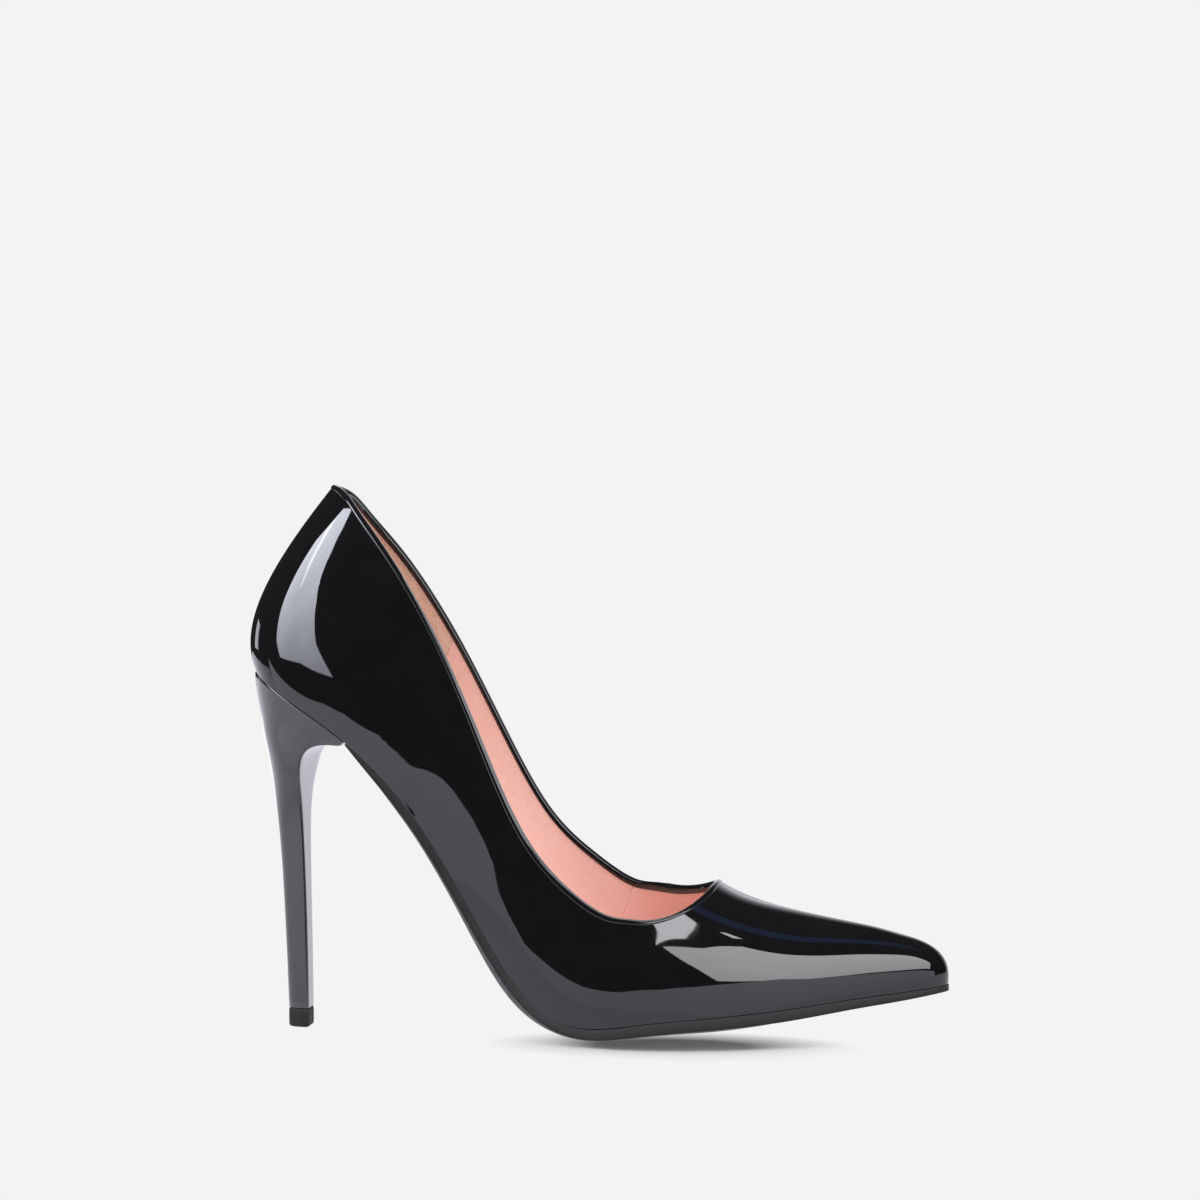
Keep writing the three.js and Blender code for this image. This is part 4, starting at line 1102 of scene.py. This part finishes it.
def camera():
    data = bpy.data.cameras.new("camera")
    data.lens = CAMERA_LENS
    data.sensor_width = 36
    data.dof.use_dof = False
    data.clip_end = 20
    piece = add_object("camera", data)
    piece.location = at(CAMERA_AT)
    aim(piece, CAMERA_LOOKS_AT)
    bpy.context.scene.camera = piece


def softbox(name, centre, target, size, power, tint=(1, 1, 1)):
    """A soft light for the matt parts; the cards stand in for it in the gloss."""
    data = bpy.data.lights.new(name, "AREA")
    data.shape = "RECTANGLE"
    data.size, data.size_y = size[0] * MM, size[1] * MM
    data.energy = power
    data.color = tint
    light = add_object(name, data)
    light.location = at(centre)
    aim(light, target)
    light.visible_glossy = False
    light.visible_camera = False


def glowing(name, corners, glow, tint, foot=1.0):
    """A glowing sheet that only reflections see."""
    middle = sum(corners, Vector()) / len(corners)
    points = [corner - middle for corner in corners]
    mesh = bpy.data.meshes.new(name)
    mesh.from_pydata(points, [], [range(len(points))])
    piece = add_object(name, mesh)
    piece.location = middle
    finish = Finish(name, Specular_IOR_Level=0, Emission_Strength=glow)
    height = finish.node("SeparateXYZ", {0: finish.place})["Z"]
    levels = [point.z for point in points]
    share = finish.span(height, min(levels), max(levels) + MM, foot, 1)
    uneven = finish.sum(share, finish.noise(0.12, 1), 0.15)
    black = finish.blend(uneven, (0, 0, 0), (0.001, 0.001, 0.001))
    light = finish.blend(uneven, (0, 0, 0), tint)
    mesh.materials.append(finish.wear(black, Emission_Color=light))
    for sight in ("camera", "diffuse", "shadow", "transmission", "volume_scatter"):
        setattr(piece, f"visible_{sight}", False)


def toward(azimuth, elevation):
    azimuth, elevation = math.radians(azimuth), math.radians(elevation)
    level = math.cos(elevation)
    return np.array([math.sin(azimuth) * level, math.cos(azimuth) * level, math.sin(elevation)])


def cards():
    for name, card in CARDS.items():
        origin = np.array(card["origin"])
        corners = [at(origin + toward(*spot) * card["distance"]) for spot in card["outline"]]
        glowing(name, corners, card["glow"], card["tint"], card.get("foot", 1))
    feet = [(CURTAIN[-1][0], SHEET_LEVEL), (CURTAIN[0][0], SHEET_LEVEL)]
    curtain = [at((x, CURTAIN_AT, z)) for x, z in CURTAIN + feet]
    glowing("curtain", curtain, CURTAIN_GLOW, CURTAIN_TINT, CURTAIN_FOOT)
    glowing("edge_strip", [at(point) for point in EDGE_STRIP], EDGE_GLOW, (0.95, 0.96, 1))
    (x0, y0), (x1, y1) = SHEET_FROM, SHEET_TO
    sheet = [at((x, y, SHEET_LEVEL)) for x, y in ((x0, y0), (x1, y0), (x1, y1), (x0, y1))]
    glowing("pale_sheet", sheet, CURTAIN_GLOW * CURTAIN_FOOT, CURTAIN_TINT)


def world():
    """Pale to the camera, even on matt parts. The gloss sees it fade from pale, low behind the
    shoe, to dark overhead, in front and past the heel."""
    space = bpy.data.worlds.new("studio")
    bpy.context.scene.world = space
    space.use_nodes = True
    tree = space.node_tree
    tree.nodes.clear()
    ray = add_node(tree, "LightPath")
    way = add_node(tree, "SeparateXYZ", {0: add_node(tree, "TexCoord")["Generated"]})

    def fade(axis, low, high, out_low, out_high):
        return map_range(tree, way[axis], low, high, out_low, out_high,
                         interpolation_type="SMOOTHSTEP")

    behind = add_node(tree, "Math", {0: fade("Y", 0.5, 0.85, 0, 1),
                                     1: fade("X", -0.36, -0.14, 0, 1)}, operation="MULTIPLY")[0]
    glow = add_node(tree, "Math", {0: fade("Z", 0.2, 0.65, PALE, 0), 1: behind, 2: GLOSS_BASE},
                    operation="MULTIPLY_ADD")[0]
    camera_shade, gloss, matt = (
        add_node(tree, "Background", {"Color": (*colour, 1), "Strength": strength})[0]
        for colour, strength in (((1, 1, 1), PALE), ((0.92, 0.95, 1), glow), ((1, 1, 1), 1)))
    lit = add_node(tree, "MixShader", {"Fac": ray["Is Glossy Ray"], 1: matt, 2: gloss})[0]
    seen = add_node(tree, "MixShader", {"Fac": ray["Is Camera Ray"], 1: lit, 2: camera_shade})[0]
    add_node(tree, "OutputWorld", {"Surface": seen})


def floor():
    """A pale sheet, seen only from above, that melts into the background round the ball."""
    mesh = bpy.data.meshes.new("floor")
    corners = [(x * FLOOR_REACH, y * FLOOR_REACH, 0)
               for x, y in ((-1, -1), (1, -1), (1, 1), (-1, 1))]
    mesh.from_pydata(corners, [], [(0, 1, 2, 3)])
    sheet = add_object("floor", mesh)
    sheet.location = at(FLOOR_AT)
    sheet.visible_glossy = False
    finish = Finish("floor_paper", IOR=1.2, Specular_IOR_Level=0, Base_Color=(*FLOOR_TONE, 1))
    narrow = finish.node("VectorMath", {0: finish.place, 1: (1, 2, 1)}, operation="MULTIPLY")[0]
    distance = finish.node("VectorMath", {0: narrow}, operation="LENGTH")["Value"]
    away = finish.sum(distance, finish.node("NewGeometry")["Backfacing"])
    roughness = finish.span(finish.noise(0.2), 0, 1, 0.85, 0.95)
    grain = finish.bump(finish.noise(0.0008), 0.000005)
    alpha = finish.span(away, *FLOOR_FADE, 0.9, 0)
    mesh.materials.append(finish.wear(None, roughness, grain, Alpha=alpha))


bpy.context.scene.view_settings.view_transform = "Standard"
camera()
world()
floor()
cards()
softbox("left_box", (-900, -350, 700), (100, 0, 60), (900, 900), 12, (0.97, 0.98, 1))
softbox("top_box", (300, -100, 1300), (120, 0, 0), (1200, 900), 16)
